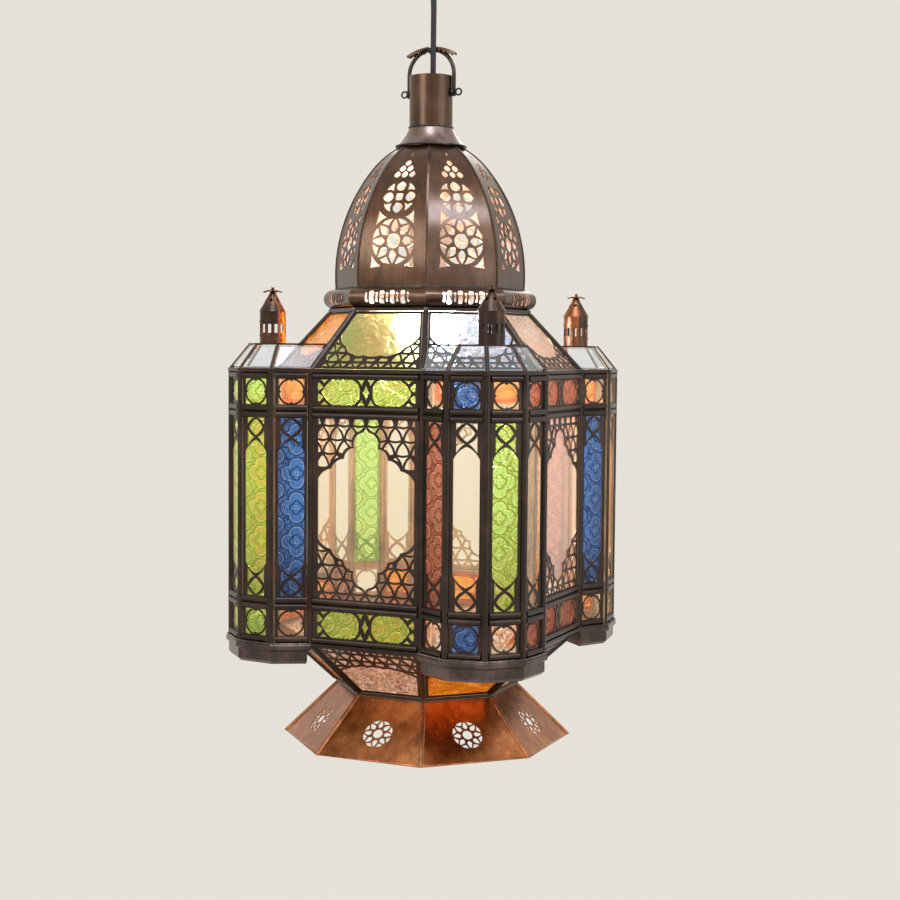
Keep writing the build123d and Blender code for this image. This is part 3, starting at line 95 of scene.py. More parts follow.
def add_camera():
    """Camera at the photograph's place, turned a little so that the lantern stands left of the middle."""
    data = bpy.data.cameras.new("camera")
    data.sensor_width = sensor_width
    data.lens = focal_pixels / frame_pixels * sensor_width
    camera = bpy.data.objects.new("camera", data)
    bpy.context.scene.collection.objects.link(camera)
    place = Vector((math.sin(camera_azimuth), -math.cos(camera_azimuth), 0)) * camera_distance
    place.z = camera_height
    turn = Matrix.Rotation(camera_azimuth - camera_yaw, 4, "Z")
    tilt = Matrix.Rotation(math.pi / 2 - camera_pitch, 4, "X")
    roll = Matrix.Rotation(camera_roll, 4, "Z")
    camera.matrix_world = Matrix.Translation(place) @ turn @ tilt @ roll
    bpy.context.scene.camera = camera


add_camera()


def link(name, data):
    """New object at the origin."""
    made = bpy.data.objects.new(name, data)
    bpy.context.scene.collection.objects.link(made)
    return made


def add_cord():
    """Taut mains cord from the neck up to the gland."""
    root = cord_foot + cord_way * (plate_under - cord_foot.z)
    mouth = root - cord_way.normalized() * gland_length
    middle = (cord_foot + mouth) / 2
    curve = bpy.data.curves.new("mains_cord", "CURVE")
    curve.dimensions = "3D"
    curve.bevel_depth = 1.0
    curve.bevel_resolution = 6
    curve.use_fill_caps = True
    spline = curve.splines.new("NURBS")
    route = [cord_foot, middle, mouth]
    spline.points.add(len(route) - 1)
    for point, place in zip(spline.points, route):
        point.co = (*place, 1)
        point.radius = cord_diameter / 2
    spline.order_u = 3
    spline.use_endpoint_u = True
    cord = link("mains_cord", curve)
    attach(cord, "suspension")
    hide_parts("power_cord")
    return cord


cord = add_cord()


# Shader building

COLOUR = "NodeSocketColor"
NUMBER = "NodeSocketFloat"
VECTOR = "NodeSocketVector"
WHOLE = "NodeSocketInt"
SHAPE = "NodeSocketGeometry"


def new_node(tree, kind, inputs=None, **settings):
    """Node with its settings, and each input linked to a socket or set to a value."""
    made = tree.nodes.new(kind)
    for name, value in settings.items():
        setattr(made, name, value)
    for key, value in (inputs or {}).items():
        if isinstance(value, bpy.types.NodeSocket):
            tree.links.new(value, made.inputs[key])
        else:
            made.inputs[key].default_value = value
    return made


def maths(tree, operation, first, second=0.0, third=0.0):
    """One Math node's result."""
    made = new_node(tree, "ShaderNodeMath", {0: first, 1: second, 2: third}, operation=operation)
    return made.outputs[0]


def mix_colour(tree, factor, first, second):
    """Colour between two colours."""
    made = new_node(tree, "ShaderNodeMix", {0: factor, 6: first, 7: second}, data_type="RGBA")
    return made.outputs[2]


def ramp(tree, factor, low, high):
    """Value from 0 to 1 as the factor goes from low to high, with soft ends."""
    made = new_node(tree, "ShaderNodeMapRange", {"Value": factor, "From Min": low, "From Max": high},
                    interpolation_type="SMOOTHSTEP")
    return made.outputs["Result"]


def noise(tree, vector, scale, detail, roughness=0.55):
    """Soft noise from 0 to 1, with its scale in lumps to a metre."""
    made = new_node(tree, "ShaderNodeTexNoise",
                    {"Vector": vector, "Scale": scale, "Detail": detail, "Roughness": roughness})
    return made.outputs["Fac"]


def new_group(name, inputs, outputs):
    """Empty shader group with named sockets; returns the tree, its input sockets and its output node."""
    tree = bpy.data.node_groups.new(name, "ShaderNodeTree")
    for label, kind, value in inputs:
        tree.interface.new_socket(label, in_out="INPUT", socket_type=kind).default_value = value
    for label, kind in outputs:
        tree.interface.new_socket(label, in_out="OUTPUT", socket_type=kind)
    return tree, tree.nodes.new("NodeGroupInput").outputs, tree.nodes.new("NodeGroupOutput")


def new_material(name):
    """Material with an empty node tree and an output."""
    material = bpy.data.materials.new(name)
    material.use_nodes = True
    tree = material.node_tree
    tree.nodes.clear()
    return material, tree, tree.nodes.new("ShaderNodeOutputMaterial")


# Tarnish and painted lamplight: where each effect begins and is full, and how much of it is taken
painted_lamplight_limits = (0.004, 0.03)
streak_stretch = (140.0, 140.0, 22.0)
streak_limits = (0.35, 0.7)
streak_share = 0.35
streak_colour = (0.012, 0.009, 0.008, 1)
pit_share = 0.28
worn_limits = (0.56, 0.86)
streaks_in_stain = 0.4
stain_limits = (0.52, 0.92)
stain_share = 0.55
patch_roughness = 0.26
pit_roughness = 0.10
patch_height = 0.6
pit_height = 0.4


def tarnish_and_lamplight_group():
    """Oxidised copper: dark film, worn patches, pits and streaks, and a brighter lining towards the axis that is
    painted lamplight.
    """
    tree, given, end = new_group(
        "tarnish_and_lamplight",
        [("Film", COLOUR, (0.03, 0.02, 0.015, 1)), ("Bare", COLOUR, (0.2, 0.1, 0.06, 1)),
         ("Wear", NUMBER, 0.3), ("Sheen", NUMBER, 0.3), ("PaintedLamplight", COLOUR, (0.5, 0.24, 0.11, 1)),
         ("PaintedLamplightShare", NUMBER, 0.0)],
        [("Color", COLOUR), ("Roughness", NUMBER), ("Height", NUMBER)])
    coords = new_node(tree, "ShaderNodeTexCoord").outputs
    place = coords["Object"]
    # Painted lamplight: faces turned towards the axis take the brighter lining colour, standing in for the lamp's
    # light inside
    outward = new_node(tree, "ShaderNodeVectorMath", {0: place, 1: (1, 1, 0)}, operation="MULTIPLY")
    facing_out = new_node(tree, "ShaderNodeVectorMath", {0: outward.outputs[0], 1: coords["Normal"]},
                          operation="DOT_PRODUCT")
    facing_in = maths(tree, "MULTIPLY", facing_out.outputs["Value"], -1.0)
    painted_lamplight_mask = maths(tree, "MULTIPLY", ramp(tree, facing_in, *painted_lamplight_limits), given["PaintedLamplightShare"])
    patches = noise(tree, place, scale=26.0, detail=5.0, roughness=0.6)
    pits = noise(tree, place, scale=420.0, detail=3.0, roughness=0.6)
    stretched = new_node(tree, "ShaderNodeMapping", {"Vector": place, "Scale": streak_stretch})
    streaks = noise(tree, stretched.outputs[0], scale=1.0, detail=3.0)
    worn = ramp(tree, maths(tree, "ADD", patches, maths(tree, "MULTIPLY", pits, pit_share)), *worn_limits)
    worn = maths(tree, "MULTIPLY", worn, given["Wear"])
    tone = mix_colour(tree, worn, given["Film"], given["Bare"])
    dark = maths(tree, "MULTIPLY", ramp(tree, streaks, *streak_limits), streak_share)
    shade = mix_colour(tree, dark, tone, streak_colour)
    rough = maths(tree, "MULTIPLY_ADD", patches, patch_roughness, given["Sheen"])
    rough = maths(tree, "MULTIPLY_ADD", pits, pit_roughness, rough)
    height = maths(tree, "MULTIPLY_ADD", patches, patch_height, maths(tree, "MULTIPLY", pits, pit_height))
    stained = ramp(tree, maths(tree, "MULTIPLY_ADD", streaks, streaks_in_stain, patches), *stain_limits)
    stained = maths(tree, "MULTIPLY", stained, stain_share)
    painted_lamplight = mix_colour(tree, stained, given["PaintedLamplight"], shade)
    tree.links.new(mix_colour(tree, painted_lamplight_mask, shade, painted_lamplight), end.inputs["Color"])
    tree.links.new(rough, end.inputs["Roughness"])
    tree.links.new(height, end.inputs["Height"])
    return tree


tarnish_and_lamplight = tarnish_and_lamplight_group()
# Share of the lining colour, the painted lamplight on inward faces
painted_lamplight_share = 0.9
tarnish_depth = 0.0006
lacquer_roughness = 0.18


def metal(name, film, bare, wear, sheen, metallic, bump, painted_lamplight=None, lacquer=0.0):
    """Sheet or wire with the tarnish group's colour, gloss and relief; a given lining is painted lamplight on the
    faces turned towards the axis.
    """
    material, tree, output = new_material(name)
    skin = new_node(tree, "ShaderNodeGroup", {"Film": film, "Bare": bare, "Wear": wear, "Sheen": sheen},
                    node_tree=tarnish_and_lamplight)
    if painted_lamplight:
        skin.inputs["PaintedLamplight"].default_value = painted_lamplight
        skin.inputs["PaintedLamplightShare"].default_value = painted_lamplight_share
    relief = new_node(tree, "ShaderNodeBump",
                      {"Strength": bump, "Distance": tarnish_depth, "Height": skin.outputs["Height"]})
    shader = new_node(tree, "ShaderNodeBsdfPrincipled",
                      {"Base Color": skin.outputs["Color"], "Roughness": skin.outputs["Roughness"],
                       "Metallic": metallic, "Normal": relief.outputs[0], "Coat Weight": lacquer,
                       "Coat Roughness": lacquer_roughness})
    tree.links.new(shader.outputs[0], output.inputs["Surface"])
    return material


# Lining colours below are painted lamplight on the faces turned towards the axis
dark_copper = metal("dark_copper", film=(0.024, 0.012, 0.008, 1), bare=(0.11, 0.058, 0.038, 1), wear=0.5,
                    sheen=0.20, metallic=0.7, bump=0.2, painted_lamplight=(0.66, 0.45, 0.27, 1), lacquer=0.25)
dome_copper = metal("dome_copper", film=(0.086, 0.039, 0.019, 1), bare=(0.18, 0.100, 0.064, 1), wear=0.6,
                    sheen=0.20, metallic=0.9, bump=0.25, painted_lamplight=(0.86, 0.60, 0.48, 1), lacquer=0.45)
# Paler grey-lilac copy of the dome's copper on the cone: a painted top light
cone_copper_painted_toplight = metal("cone_copper_painted_toplight", film=(0.20, 0.13, 0.112, 1), bare=(0.40, 0.30, 0.275, 1), wear=0.7,
                    sheen=0.20, metallic=0.9, bump=0.25, lacquer=0.6)
foot_copper = metal("foot_copper", film=(0.052, 0.030, 0.024, 1), bare=(0.21, 0.135, 0.112, 1), wear=0.6,
                    sheen=0.18, metallic=0.8, bump=0.2, lacquer=0.5)
finial_copper = metal("finial_copper", film=(0.045, 0.024, 0.016, 1), bare=(0.28, 0.11, 0.05, 1), wear=0.7,
                      sheen=0.24, metallic=0.85, bump=0.25, painted_lamplight=(0.46, 0.14, 0.05, 1), lacquer=0.2)
skirt_copper = metal("skirt_copper", film=(0.37, 0.115, 0.03, 1), bare=(0.70, 0.29, 0.10, 1), wear=0.6,
                     sheen=0.12, metallic=0.95, bump=0.15, painted_lamplight=(0.70, 0.36, 0.20, 1), lacquer=0.5)
wire_steel = metal("wire_steel", film=(0.035, 0.032, 0.03, 1), bare=(0.30, 0.27, 0.24, 1), wear=0.4,
                   sheen=0.25, metallic=0.85, bump=0.2)
leaf_copper = metal("leaf_copper", film=(0.14, 0.08, 0.05, 1), bare=(0.40, 0.24, 0.16, 1), wear=0.8,
                    sheen=0.25, metallic=0.85, bump=0.3)
solder_line = metal("solder_line", film=(0.045, 0.05, 0.05, 1), bare=(0.26, 0.27, 0.27, 1), wear=0.6,
                    sheen=0.28, metallic=0.85, bump=0.5)
solder = metal("solder", film=(0.20, 0.19, 0.18, 1), bare=(0.55, 0.53, 0.50, 1), wear=0.7,
               sheen=0.25, metallic=0.9, bump=0.4)
milled_copper = metal("milled_copper", film=(0.11, 0.09, 0.08, 1), bare=(0.45, 0.39, 0.35, 1), wear=0.8,
                      sheen=0.18, metallic=0.85, bump=0.2)

cloud_lift = 1.8
cloud_share = 0.5
cloud_roughness = 0.15


def plastic(name, colour, rough):
    """Moulded plastic, rubber or porcelain with a fine grain and paler clouds."""
    material, tree, output = new_material(name)
    place = new_node(tree, "ShaderNodeTexCoord").outputs["Object"]
    grain = noise(tree, place, scale=900.0, detail=2.0)
    clouds = noise(tree, place, scale=60.0, detail=3.0)
    paler = tuple(channel * cloud_lift for channel in colour[:3]) + (1,)
    tint = mix_colour(tree, maths(tree, "MULTIPLY", clouds, cloud_share), colour, paler)
    relief = new_node(tree, "ShaderNodeBump", {"Strength": 0.15, "Distance": 0.0002, "Height": grain})
    gloss = maths(tree, "MULTIPLY_ADD", clouds, cloud_roughness, rough)
    shader = new_node(tree, "ShaderNodeBsdfPrincipled",
                      {"Base Color": tint, "Roughness": gloss, "Normal": relief.outputs[0]})
    tree.links.new(shader.outputs[0], output.inputs["Surface"])
    return material


cord_rubber = plastic("cord_rubber", colour=(0.012, 0.012, 0.013, 1), rough=0.45)
gland_plastic = plastic("gland_plastic", colour=(0.02, 0.02, 0.02, 1), rough=0.35)
porcelain = plastic("porcelain", colour=(0.46, 0.43, 0.39, 1), rough=0.2)
cord.data.materials.append(cord_rubber)


def lamp_material():
    """Lit frosted lamp."""
    material, tree, output = new_material("lit_lamp")
    place = new_node(tree, "ShaderNodeTexCoord").outputs["Object"]
    clouds = noise(tree, place, scale=40.0, detail=2.0)
    bulb_and_painted_pane_glow = mix_colour(tree, clouds, (1.0, 0.93, 0.82, 1), (1.0, 0.97, 0.92, 1))
    shader = new_node(tree, "ShaderNodeBsdfPrincipled",
                      {"Base Color": (0.9, 0.9, 0.88, 1), "Roughness": 0.4, "Emission Color": bulb_and_painted_pane_glow,
                       "Emission Strength": 30.0})
    tree.links.new(shader.outputs[0], output.inputs["Surface"])
    return material


lit_lamp = lamp_material()


# Glass: the panes are copied from the frame and get a map in metres, across and up each pane

weld_distance = 1e-6


def loose_parts(mesh):
    """Faces of each separate shell of a mesh, in the mesh's order."""
    mesh.faces.index_update()
    waiting = set(mesh.faces)
    while waiting:
        shell = {waiting.pop()}
        edge = list(shell)
        while edge:
            face = edge.pop()
            for side in face.edges:
                for near in side.link_faces:
                    if near in waiting:
                        waiting.discard(near)
                        shell.add(near)
                        edge.append(near)
        yield sorted(shell, key=lambda face: face.index)


def map_pane(layer, faces):
    """Map of one pane: across it and up it from its middle."""
    largest = max(faces, key=lambda face: face.calc_area())
    facing = largest.normal.copy()
    across = Vector((0, 0, 1)).cross(facing).normalized()
    upward = facing.cross(across)
    corners = dict.fromkeys(vert for face in faces for vert in face.verts)
    middle = sum((vert.co for vert in corners), Vector()) / len(corners)
    for face in faces:
        for loop in face.loops:
            from_middle = loop.vert.co - middle
            loop[layer].uv = (from_middle.dot(across), from_middle.dot(upward))


def glaze(node, body, material):
    """Copy of a glass node with a map, in place of the node."""
    source = nodes[node]
    mesh = bmesh.new()
    mesh.from_mesh(source.data)
    mesh.transform(source.matrix_world)
    bmesh.ops.remove_doubles(mesh, verts=mesh.verts, dist=weld_distance)
    layer = mesh.loops.layers.uv.new("pane")
    for faces in loose_parts(mesh):
        map_pane(layer, faces)
    data = bpy.data.meshes.new(node + "_glazed")
    mesh.to_mesh(data)
    mesh.free()
    data.materials.append(material)
    pane = link(node + "_glazed", data)
    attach(pane, body)
    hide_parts(node)


# Pressed pattern, in metres: half the steps between medallions, and where each drawn line starts and ends to
# fade; the inset puts a painted highlight line inside each outline
medallion_across = 0.026
medallion_along = 0.016
medallion_lobe = 0.0075
medallion_shift = 0.005
petal_share = 0.42
outline_fade = (0.0002, 0.0008)
flower_fade = (0.0001, 0.0007)
painted_highlight_inset = 0.0011
scroll_fade = (0.008, 0.040)
scroll_margin = (0.0006, 0.0016)
scroll_share = 0.7
ground_scale = 420.0
ground_height = 0.3


def drawn_line(tree, offset, inner, outer):
    """1 on the line where an offset is nought, fading out between two distances from it."""
    return maths(tree, "SUBTRACT", 1.0, ramp(tree, maths(tree, "ABSOLUTE", offset), inner, outer))


def four_lobes(tree, across, along, out, lobe):
    """Distance outside a four-lobed outline, from folded distances across and along it."""
    sides = []
    for first, second in ((across, along), (along, across)):
        apart = maths(tree, "SUBTRACT", first, out)
        sides.append(maths(tree, "SQRT", maths(tree, "MULTIPLY_ADD", apart, apart,
                                               maths(tree, "MULTIPLY", second, second))))
    return maths(tree, "SUBTRACT", maths(tree, "MINIMUM", *sides), lobe)


def pressed_group():
    """Pressed pattern: half-drop rows of four-lobed medallions, each with a flower, and fine scrolls between; its
    Shade darkens the drawn lines as painted relief shade and lightens a line inside each outline as a painted
    highlight.
    """
    tree, given, end = new_group(
        "pressed_pattern",
        [("Vector", VECTOR, (0, 0, 0)), ("Across", NUMBER, medallion_across),
         ("Along", NUMBER, medallion_along), ("Lobe", NUMBER, medallion_lobe)],
        [("Height", NUMBER), ("Shade", NUMBER)])
    split = new_node(tree, "ShaderNodeSeparateXYZ", {0: given["Vector"]}).outputs
    across = maths(tree, "PINGPONG", maths(tree, "ADD", split[0], medallion_shift), given["Across"])
    along = maths(tree, "PINGPONG", split[1], given["Along"])
    dropped = (maths(tree, "SUBTRACT", given["Across"], across),
               maths(tree, "SUBTRACT", given["Along"], along))
    petal = maths(tree, "MULTIPLY", given["Lobe"], petal_share)
    edges = []
    for out, lobe in ((given["Lobe"], given["Lobe"]), (petal, petal)):
        edges.append(maths(tree, "MINIMUM", four_lobes(tree, across, along, out, lobe),
                           four_lobes(tree, *dropped, out, lobe)))
    outline = drawn_line(tree, edges[0], *outline_fade)
    flower = drawn_line(tree, edges[1], *flower_fade)
    # Painted highlight: a line just inside each outline, as if the relief caught the light
    inset = maths(tree, "ADD", maths(tree, "MINIMUM", *edges), painted_highlight_inset)
    painted_highlight_line = drawn_line(tree, inset, *outline_fade)
    bent = noise(tree, given["Vector"], scale=110.0, detail=1.0)
    scrolls = drawn_line(tree, maths(tree, "SUBTRACT", bent, 0.5), *scroll_fade)
    scrolls = maths(tree, "MULTIPLY", scrolls, ramp(tree, edges[0], *scroll_margin))
    drawn = maths(tree, "MAXIMUM", maths(tree, "MAXIMUM", outline, flower),
                  maths(tree, "MULTIPLY", scrolls, scroll_share))
    ground = new_node(tree, "ShaderNodeTexVoronoi", {"Vector": given["Vector"], "Scale": ground_scale},
                      feature="F1")
    height = maths(tree, "MULTIPLY_ADD", ground.outputs["Distance"], ground_height, drawn)
    tree.links.new(height, end.inputs["Height"])
    tree.links.new(maths(tree, "SUBTRACT", drawn, painted_highlight_line), end.inputs["Shade"])
    return tree


# Hammered pattern: heights of its lumps and ripples, and the ripple levels that darken the glass, with a painted
# highlight below the last
lump_height = 0.7
ripple_height = 0.8
ripple_limits = (0.38, 0.62)
ripple_painted_gleam_level = 0.4


def hammered_group():
    """Rolled cathedral glass: soft lumps or long ripples."""
    tree, given, end = new_group(
        "hammered_pattern",
        [("Vector", VECTOR, (0, 0, 0)), ("Scale", NUMBER, 160.0), ("Stretch", NUMBER, 1.0)],
        [("Height", NUMBER), ("Shade", NUMBER)])
    split = new_node(tree, "ShaderNodeSeparateXYZ", {0: given["Vector"]}).outputs
    stretched = maths(tree, "MULTIPLY", split[0], given["Stretch"])
    placed = new_node(tree, "ShaderNodeCombineXYZ", {0: stretched, 1: split[1], 2: split[2]}).outputs[0]
    bent = new_node(tree, "ShaderNodeTexNoise", {"Vector": placed, "Scale": given["Scale"], "Detail": 2.0,
                                                 "Distortion": 1.2}).outputs["Fac"]
    cells = new_node(tree, "ShaderNodeTexVoronoi", {"Vector": placed, "Scale": given["Scale"]},
                     feature="SMOOTH_F1").outputs["Distance"]
    height = maths(tree, "MULTIPLY_ADD", cells, lump_height, maths(tree, "MULTIPLY", bent, ripple_height))
    tree.links.new(height, end.inputs["Height"])
    # Ripples deepen the colour, and below the level they give painted highlights
    shade = maths(tree, "SUBTRACT", ramp(tree, bent, *ripple_limits), ripple_painted_gleam_level)
    tree.links.new(shade, end.inputs["Shade"])
    return tree


pressed = pressed_group()
hammered = hammered_group()

# Depth of a pane's colour, from 0 for its tint to 1 for its deep colour, and what the painted lamplight and the
# pattern change, with the pattern's painted gleam
least_depth = 0.15
cloud_depth = 0.5
painted_light_depth = -0.3
painted_light_margin = 0.02
painted_dimming_share = 0.4
painted_gleam_share = 0.32
painted_gleam_white = 0.5
pattern_depth = 0.0018
glass_index = 1.3


def glass(name, tint, deep, bulb_and_painted_pane_glow, pattern=None, settings=None, relief=0.5, rough=0.05, tone=0.6):
    """Pane of coloured glass whose relief and depth of colour follow a pattern, with a painted glow and painted
    lamplight: paler near the roof, its glow dimmer towards the sill.
    """
    material, tree, output = new_material(name)
    place = new_node(tree, "ShaderNodeUVMap", uv_map="pane").outputs[0]
    shape = new_node(tree, "ShaderNodeTexCoord").outputs["Object"]
    level = new_node(tree, "ShaderNodeSeparateXYZ", {0: shape}).outputs[2]
    # Painted lamplight: panes paler towards the roof, their painted glow darker towards the sill
    painted_light_by_height = ramp(tree, level, sill_level - painted_light_margin, eaves_level + painted_light_margin)
    clouds = noise(tree, place, scale=35.0, detail=3.0)
    depth = maths(tree, "MULTIPLY_ADD", clouds, cloud_depth, least_depth)
    depth = maths(tree, "MULTIPLY_ADD", painted_light_by_height, painted_light_depth, depth)
    # The pane's emission is a painted glow, standing in for the lamp's light scattered in the glass
    inputs = {"Roughness": rough, "IOR": glass_index, "Transmission Weight": 1.0, "Emission Strength": bulb_and_painted_pane_glow}
    if pattern:
        drawn = new_node(tree, "ShaderNodeGroup", {"Vector": place, **(settings or {})}, node_tree=pattern)
        bumps = new_node(tree, "ShaderNodeBump",
                         {"Strength": relief, "Distance": pattern_depth, "Height": drawn.outputs["Height"]})
        inputs["Normal"] = bumps.outputs[0]
        depth = maths(tree, "MULTIPLY_ADD", drawn.outputs["Shade"], tone, depth)
    colour = mix_colour(tree, depth, tint, deep)
    if pattern:
        # Painted highlight: where the pattern's Shade is below nought the colour turns paler, towards white
        painted_gleam = maths(tree, "MULTIPLY", drawn.outputs["Shade"], -painted_gleam_share)
        paler = tuple(painted_gleam_white + channel * (1 - painted_gleam_white) for channel in tint[:3]) + (1,)
        colour = mix_colour(tree, maths(tree, "MAXIMUM", painted_gleam, 0.0), colour, paler)
    inputs["Base Color"] = colour
    painted_dimming = maths(tree, "MULTIPLY_ADD", painted_light_by_height, -painted_dimming_share, painted_dimming_share)
    inputs["Emission Color"] = mix_colour(tree, painted_dimming, colour, (0, 0, 0, 1))
    shader = new_node(tree, "ShaderNodeBsdfPrincipled", inputs)
    clear = new_node(tree, "ShaderNodeBsdfTransparent", {"Color": tint})
    shadow = new_node(tree, "ShaderNodeLightPath").outputs["Is Shadow Ray"]
    mixed = new_node(tree, "ShaderNodeMixShader", {0: shadow, 1: shader.outputs[0], 2: clear.outputs[0]})
    tree.links.new(mixed.outputs[0], output.inputs["Surface"])
    return material


# The clear glass's warm peach tint and glow are painted lamplight from the lit interior
clear_glass = glass("clear_glass", tint=(0.98, 0.93, 0.82, 1), deep=(0.96, 0.87, 0.70, 1), bulb_and_painted_pane_glow=0.05, rough=0.02)
cap_clear = glass("cap_clear", tint=(0.84, 0.86, 0.88, 1), deep=(0.56, 0.60, 0.66, 1), bulb_and_painted_pane_glow=0.07, rough=0.04)
rose_clear = glass("rose_clear", tint=(0.97, 0.76, 0.64, 1), deep=(0.84, 0.60, 0.49, 1), bulb_and_painted_pane_glow=0.20, rough=0.04)
rose_glass = glass("rose_glass", tint=(0.97, 0.76, 0.64, 1), deep=(0.38, 0.20, 0.13, 1), bulb_and_painted_pane_glow=0.20,
                   pattern=hammered, settings={"Scale": 260.0}, relief=1.0, tone=0.9)
amber_glass = glass("amber_glass", tint=(0.92, 0.36, 0.02, 1), deep=(0.56, 0.17, 0.004, 1), bulb_and_painted_pane_glow=0.18,
                    pattern=hammered, settings={"Scale": 120.0, "Stretch": 0.35}, relief=0.9)
green_glass = glass("green_glass", tint=(0.56, 0.78, 0.22, 1), deep=(0.27, 0.40, 0.05, 1), bulb_and_painted_pane_glow=0.26,
                    pattern=pressed, relief=1.0, tone=1.0)
blue_glass = glass("blue_glass", tint=(0.085, 0.24, 0.64, 1), deep=(0.02, 0.07, 0.27, 1), bulb_and_painted_pane_glow=0.17,
                   pattern=pressed, relief=1.0, tone=1.1)
red_glass = glass("red_glass", tint=(0.58, 0.25, 0.17, 1), deep=(0.26, 0.08, 0.045, 1), bulb_and_painted_pane_glow=0.15,
                  pattern=pressed, relief=1.0, tone=1.1)
roof_green = glass("roof_green", tint=(0.50, 0.64, 0.34, 1), deep=(0.36, 0.48, 0.20, 1), bulb_and_painted_pane_glow=0.12,
                   pattern=hammered, settings={"Scale": 130.0}, relief=0.5, rough=0.28)
roof_rose = glass("roof_rose", tint=(0.90, 0.78, 0.68, 1), deep=(0.62, 0.46, 0.36, 1), bulb_and_painted_pane_glow=0.10,
                  pattern=hammered, settings={"Scale": 320.0}, relief=1.0)
roof_blue = glass("roof_blue", tint=(0.55, 0.70, 0.95, 1), deep=(0.30, 0.46, 0.75, 1), bulb_and_painted_pane_glow=0.14,
                  pattern=hammered, settings={"Scale": 130.0}, relief=0.9)

panes_by_name = {
    "clear": clear_glass, "rose": rose_glass, "amber": amber_glass, "green": green_glass, "blue": blue_glass,
    "red": red_glass, "roof_glass_green": roof_green, "roof_glass_blue": roof_blue,
    "roof_glass_rose": roof_rose, "cap_glass": cap_clear, "window_glass_rose": rose_clear,
    "door_glass": clear_glass,
}


def pane_finish(node):
    """Glass of a node, by its whole name or else by the colour that ends it."""
    return panes_by_name.get(node) or panes_by_name[node.split("_")[-1]]


for node in [name for name in nodes if "glass" in name]:
    glaze(node, "door" if node == "door_glass" else "lantern", pane_finish(node))

# Finishes of the carried-over nodes
finishes = {
    "dome": dome_copper, "neck": dome_copper, "neck_cone": cone_copper_painted_toplight, "turret_feet": foot_copper,
    "skirt": skirt_copper, "bail_leaf": leaf_copper, "bail": wire_steel,
    "ceiling_hook": wire_steel, "hanging_hook": wire_steel, "hinge_pins": wire_steel, "latch_pin": wire_steel,
    "finial": finial_copper, "cord_gland": gland_plastic, "lamp_holder": porcelain, "lamp_lead": cord_rubber,
    "bulb_cap": solder, "bulb": lit_lamp,
}


def finish_of(name):
    """Finish of a node: the longest key that its name starts with, or the body's dark copper."""
    keys = [key for key in finishes if name.startswith(key)]
    return finishes[max(keys, key=len)] if keys else dark_copper


for name, part in nodes.items():
    if "glass" in name or name == "power_cord":
        continue
    part.data.materials.clear()
    part.data.materials.append(finish_of(name))


# Small soldered and milled pieces, grown by geometry nodes

smallest_ball = (0.82, 0.82, 0.82)
largest_ball = (1.12, 1.12, 1.12)
ball_subdivisions = 2
wire_sides = 10


def new_growth(name, inputs):
    """Empty geometry tree with named inputs; returns the tree, its input sockets and its output node."""
    tree = bpy.data.node_groups.new(name, "GeometryNodeTree")
    tree.interface.new_socket("Geometry", in_out="INPUT", socket_type=SHAPE)
    for label, kind, value in inputs:
        tree.interface.new_socket(label, in_out="INPUT", socket_type=kind).default_value = value
    tree.interface.new_socket("Geometry", in_out="OUTPUT", socket_type=SHAPE)
    return tree, tree.nodes.new("NodeGroupInput").outputs, tree.nodes.new("NodeGroupOutput")


def scatter(tree, points, given, material, end):
    """Slightly uneven balls on the points, made real, smooth and coated."""
    ball = new_node(tree, "GeometryNodeMeshIcoSphere",
                    {"Radius": given["Radius"], "Subdivisions": ball_subdivisions})
    size = new_node(tree, "FunctionNodeRandomValue",
                    {"Seed": given["Seed"], "Min": smallest_ball, "Max": largest_ball}, data_type="FLOAT_VECTOR")
    placed = new_node(tree, "GeometryNodeInstanceOnPoints",
                      {"Points": points, "Instance": ball.outputs["Mesh"], "Scale": size.outputs["Value"]})
    real = new_node(tree, "GeometryNodeRealizeInstances", {"Geometry": placed.outputs[0]})
    smooth = new_node(tree, "GeometryNodeSetShadeSmooth", {"Geometry": real.outputs[0]})
    coated = new_node(tree, "GeometryNodeSetMaterial", {"Geometry": smooth.outputs[0], "Material": material})
    tree.links.new(coated.outputs[0], end.inputs[0])


def bead_strip_tree(material):
    """Row of balls along each line of the source mesh."""
    tree, given, end = new_growth(
        "bead_strip", [("Spacing", NUMBER, 0.002), ("Radius", NUMBER, 0.001), ("Seed", WHOLE, 3)])
    curve = new_node(tree, "GeometryNodeMeshToCurve", {"Mesh": given["Geometry"]})
    even = new_node(tree, "GeometryNodeResampleCurve",
                    {"Curve": curve.outputs[0], "Length": given["Spacing"]}, mode="LENGTH")
    scatter(tree, even.outputs[0], given, material, end)
    return tree


def dots_tree(material):
    """One ball on each point of the source mesh."""
    tree, given, end = new_growth("solder_dots", [("Radius", NUMBER, 0.002), ("Seed", WHOLE, 5)])
    scatter(tree, given["Geometry"], given, material, end)
    return tree


def wire_tree(material):
    """Round wire along each line of the source mesh."""
    tree, given, end = new_growth("rolled_hem", [("Radius", NUMBER, 0.001)])
    curve = new_node(tree, "GeometryNodeMeshToCurve", {"Mesh": given["Geometry"]})
    ring = new_node(tree, "GeometryNodeCurvePrimitiveCircle",
                    {"Radius": given["Radius"], "Resolution": wire_sides})
    tube = new_node(tree, "GeometryNodeCurveToMesh",
                    {"Curve": curve.outputs[0], "Profile Curve": ring.outputs[0]})
    real = new_node(tree, "GeometryNodeRealizeInstances", {"Geometry": tube.outputs[0]})
    coated = new_node(tree, "GeometryNodeSetMaterial", {"Geometry": real.outputs[0], "Material": material})
    tree.links.new(coated.outputs[0], end.inputs[0])
    return tree


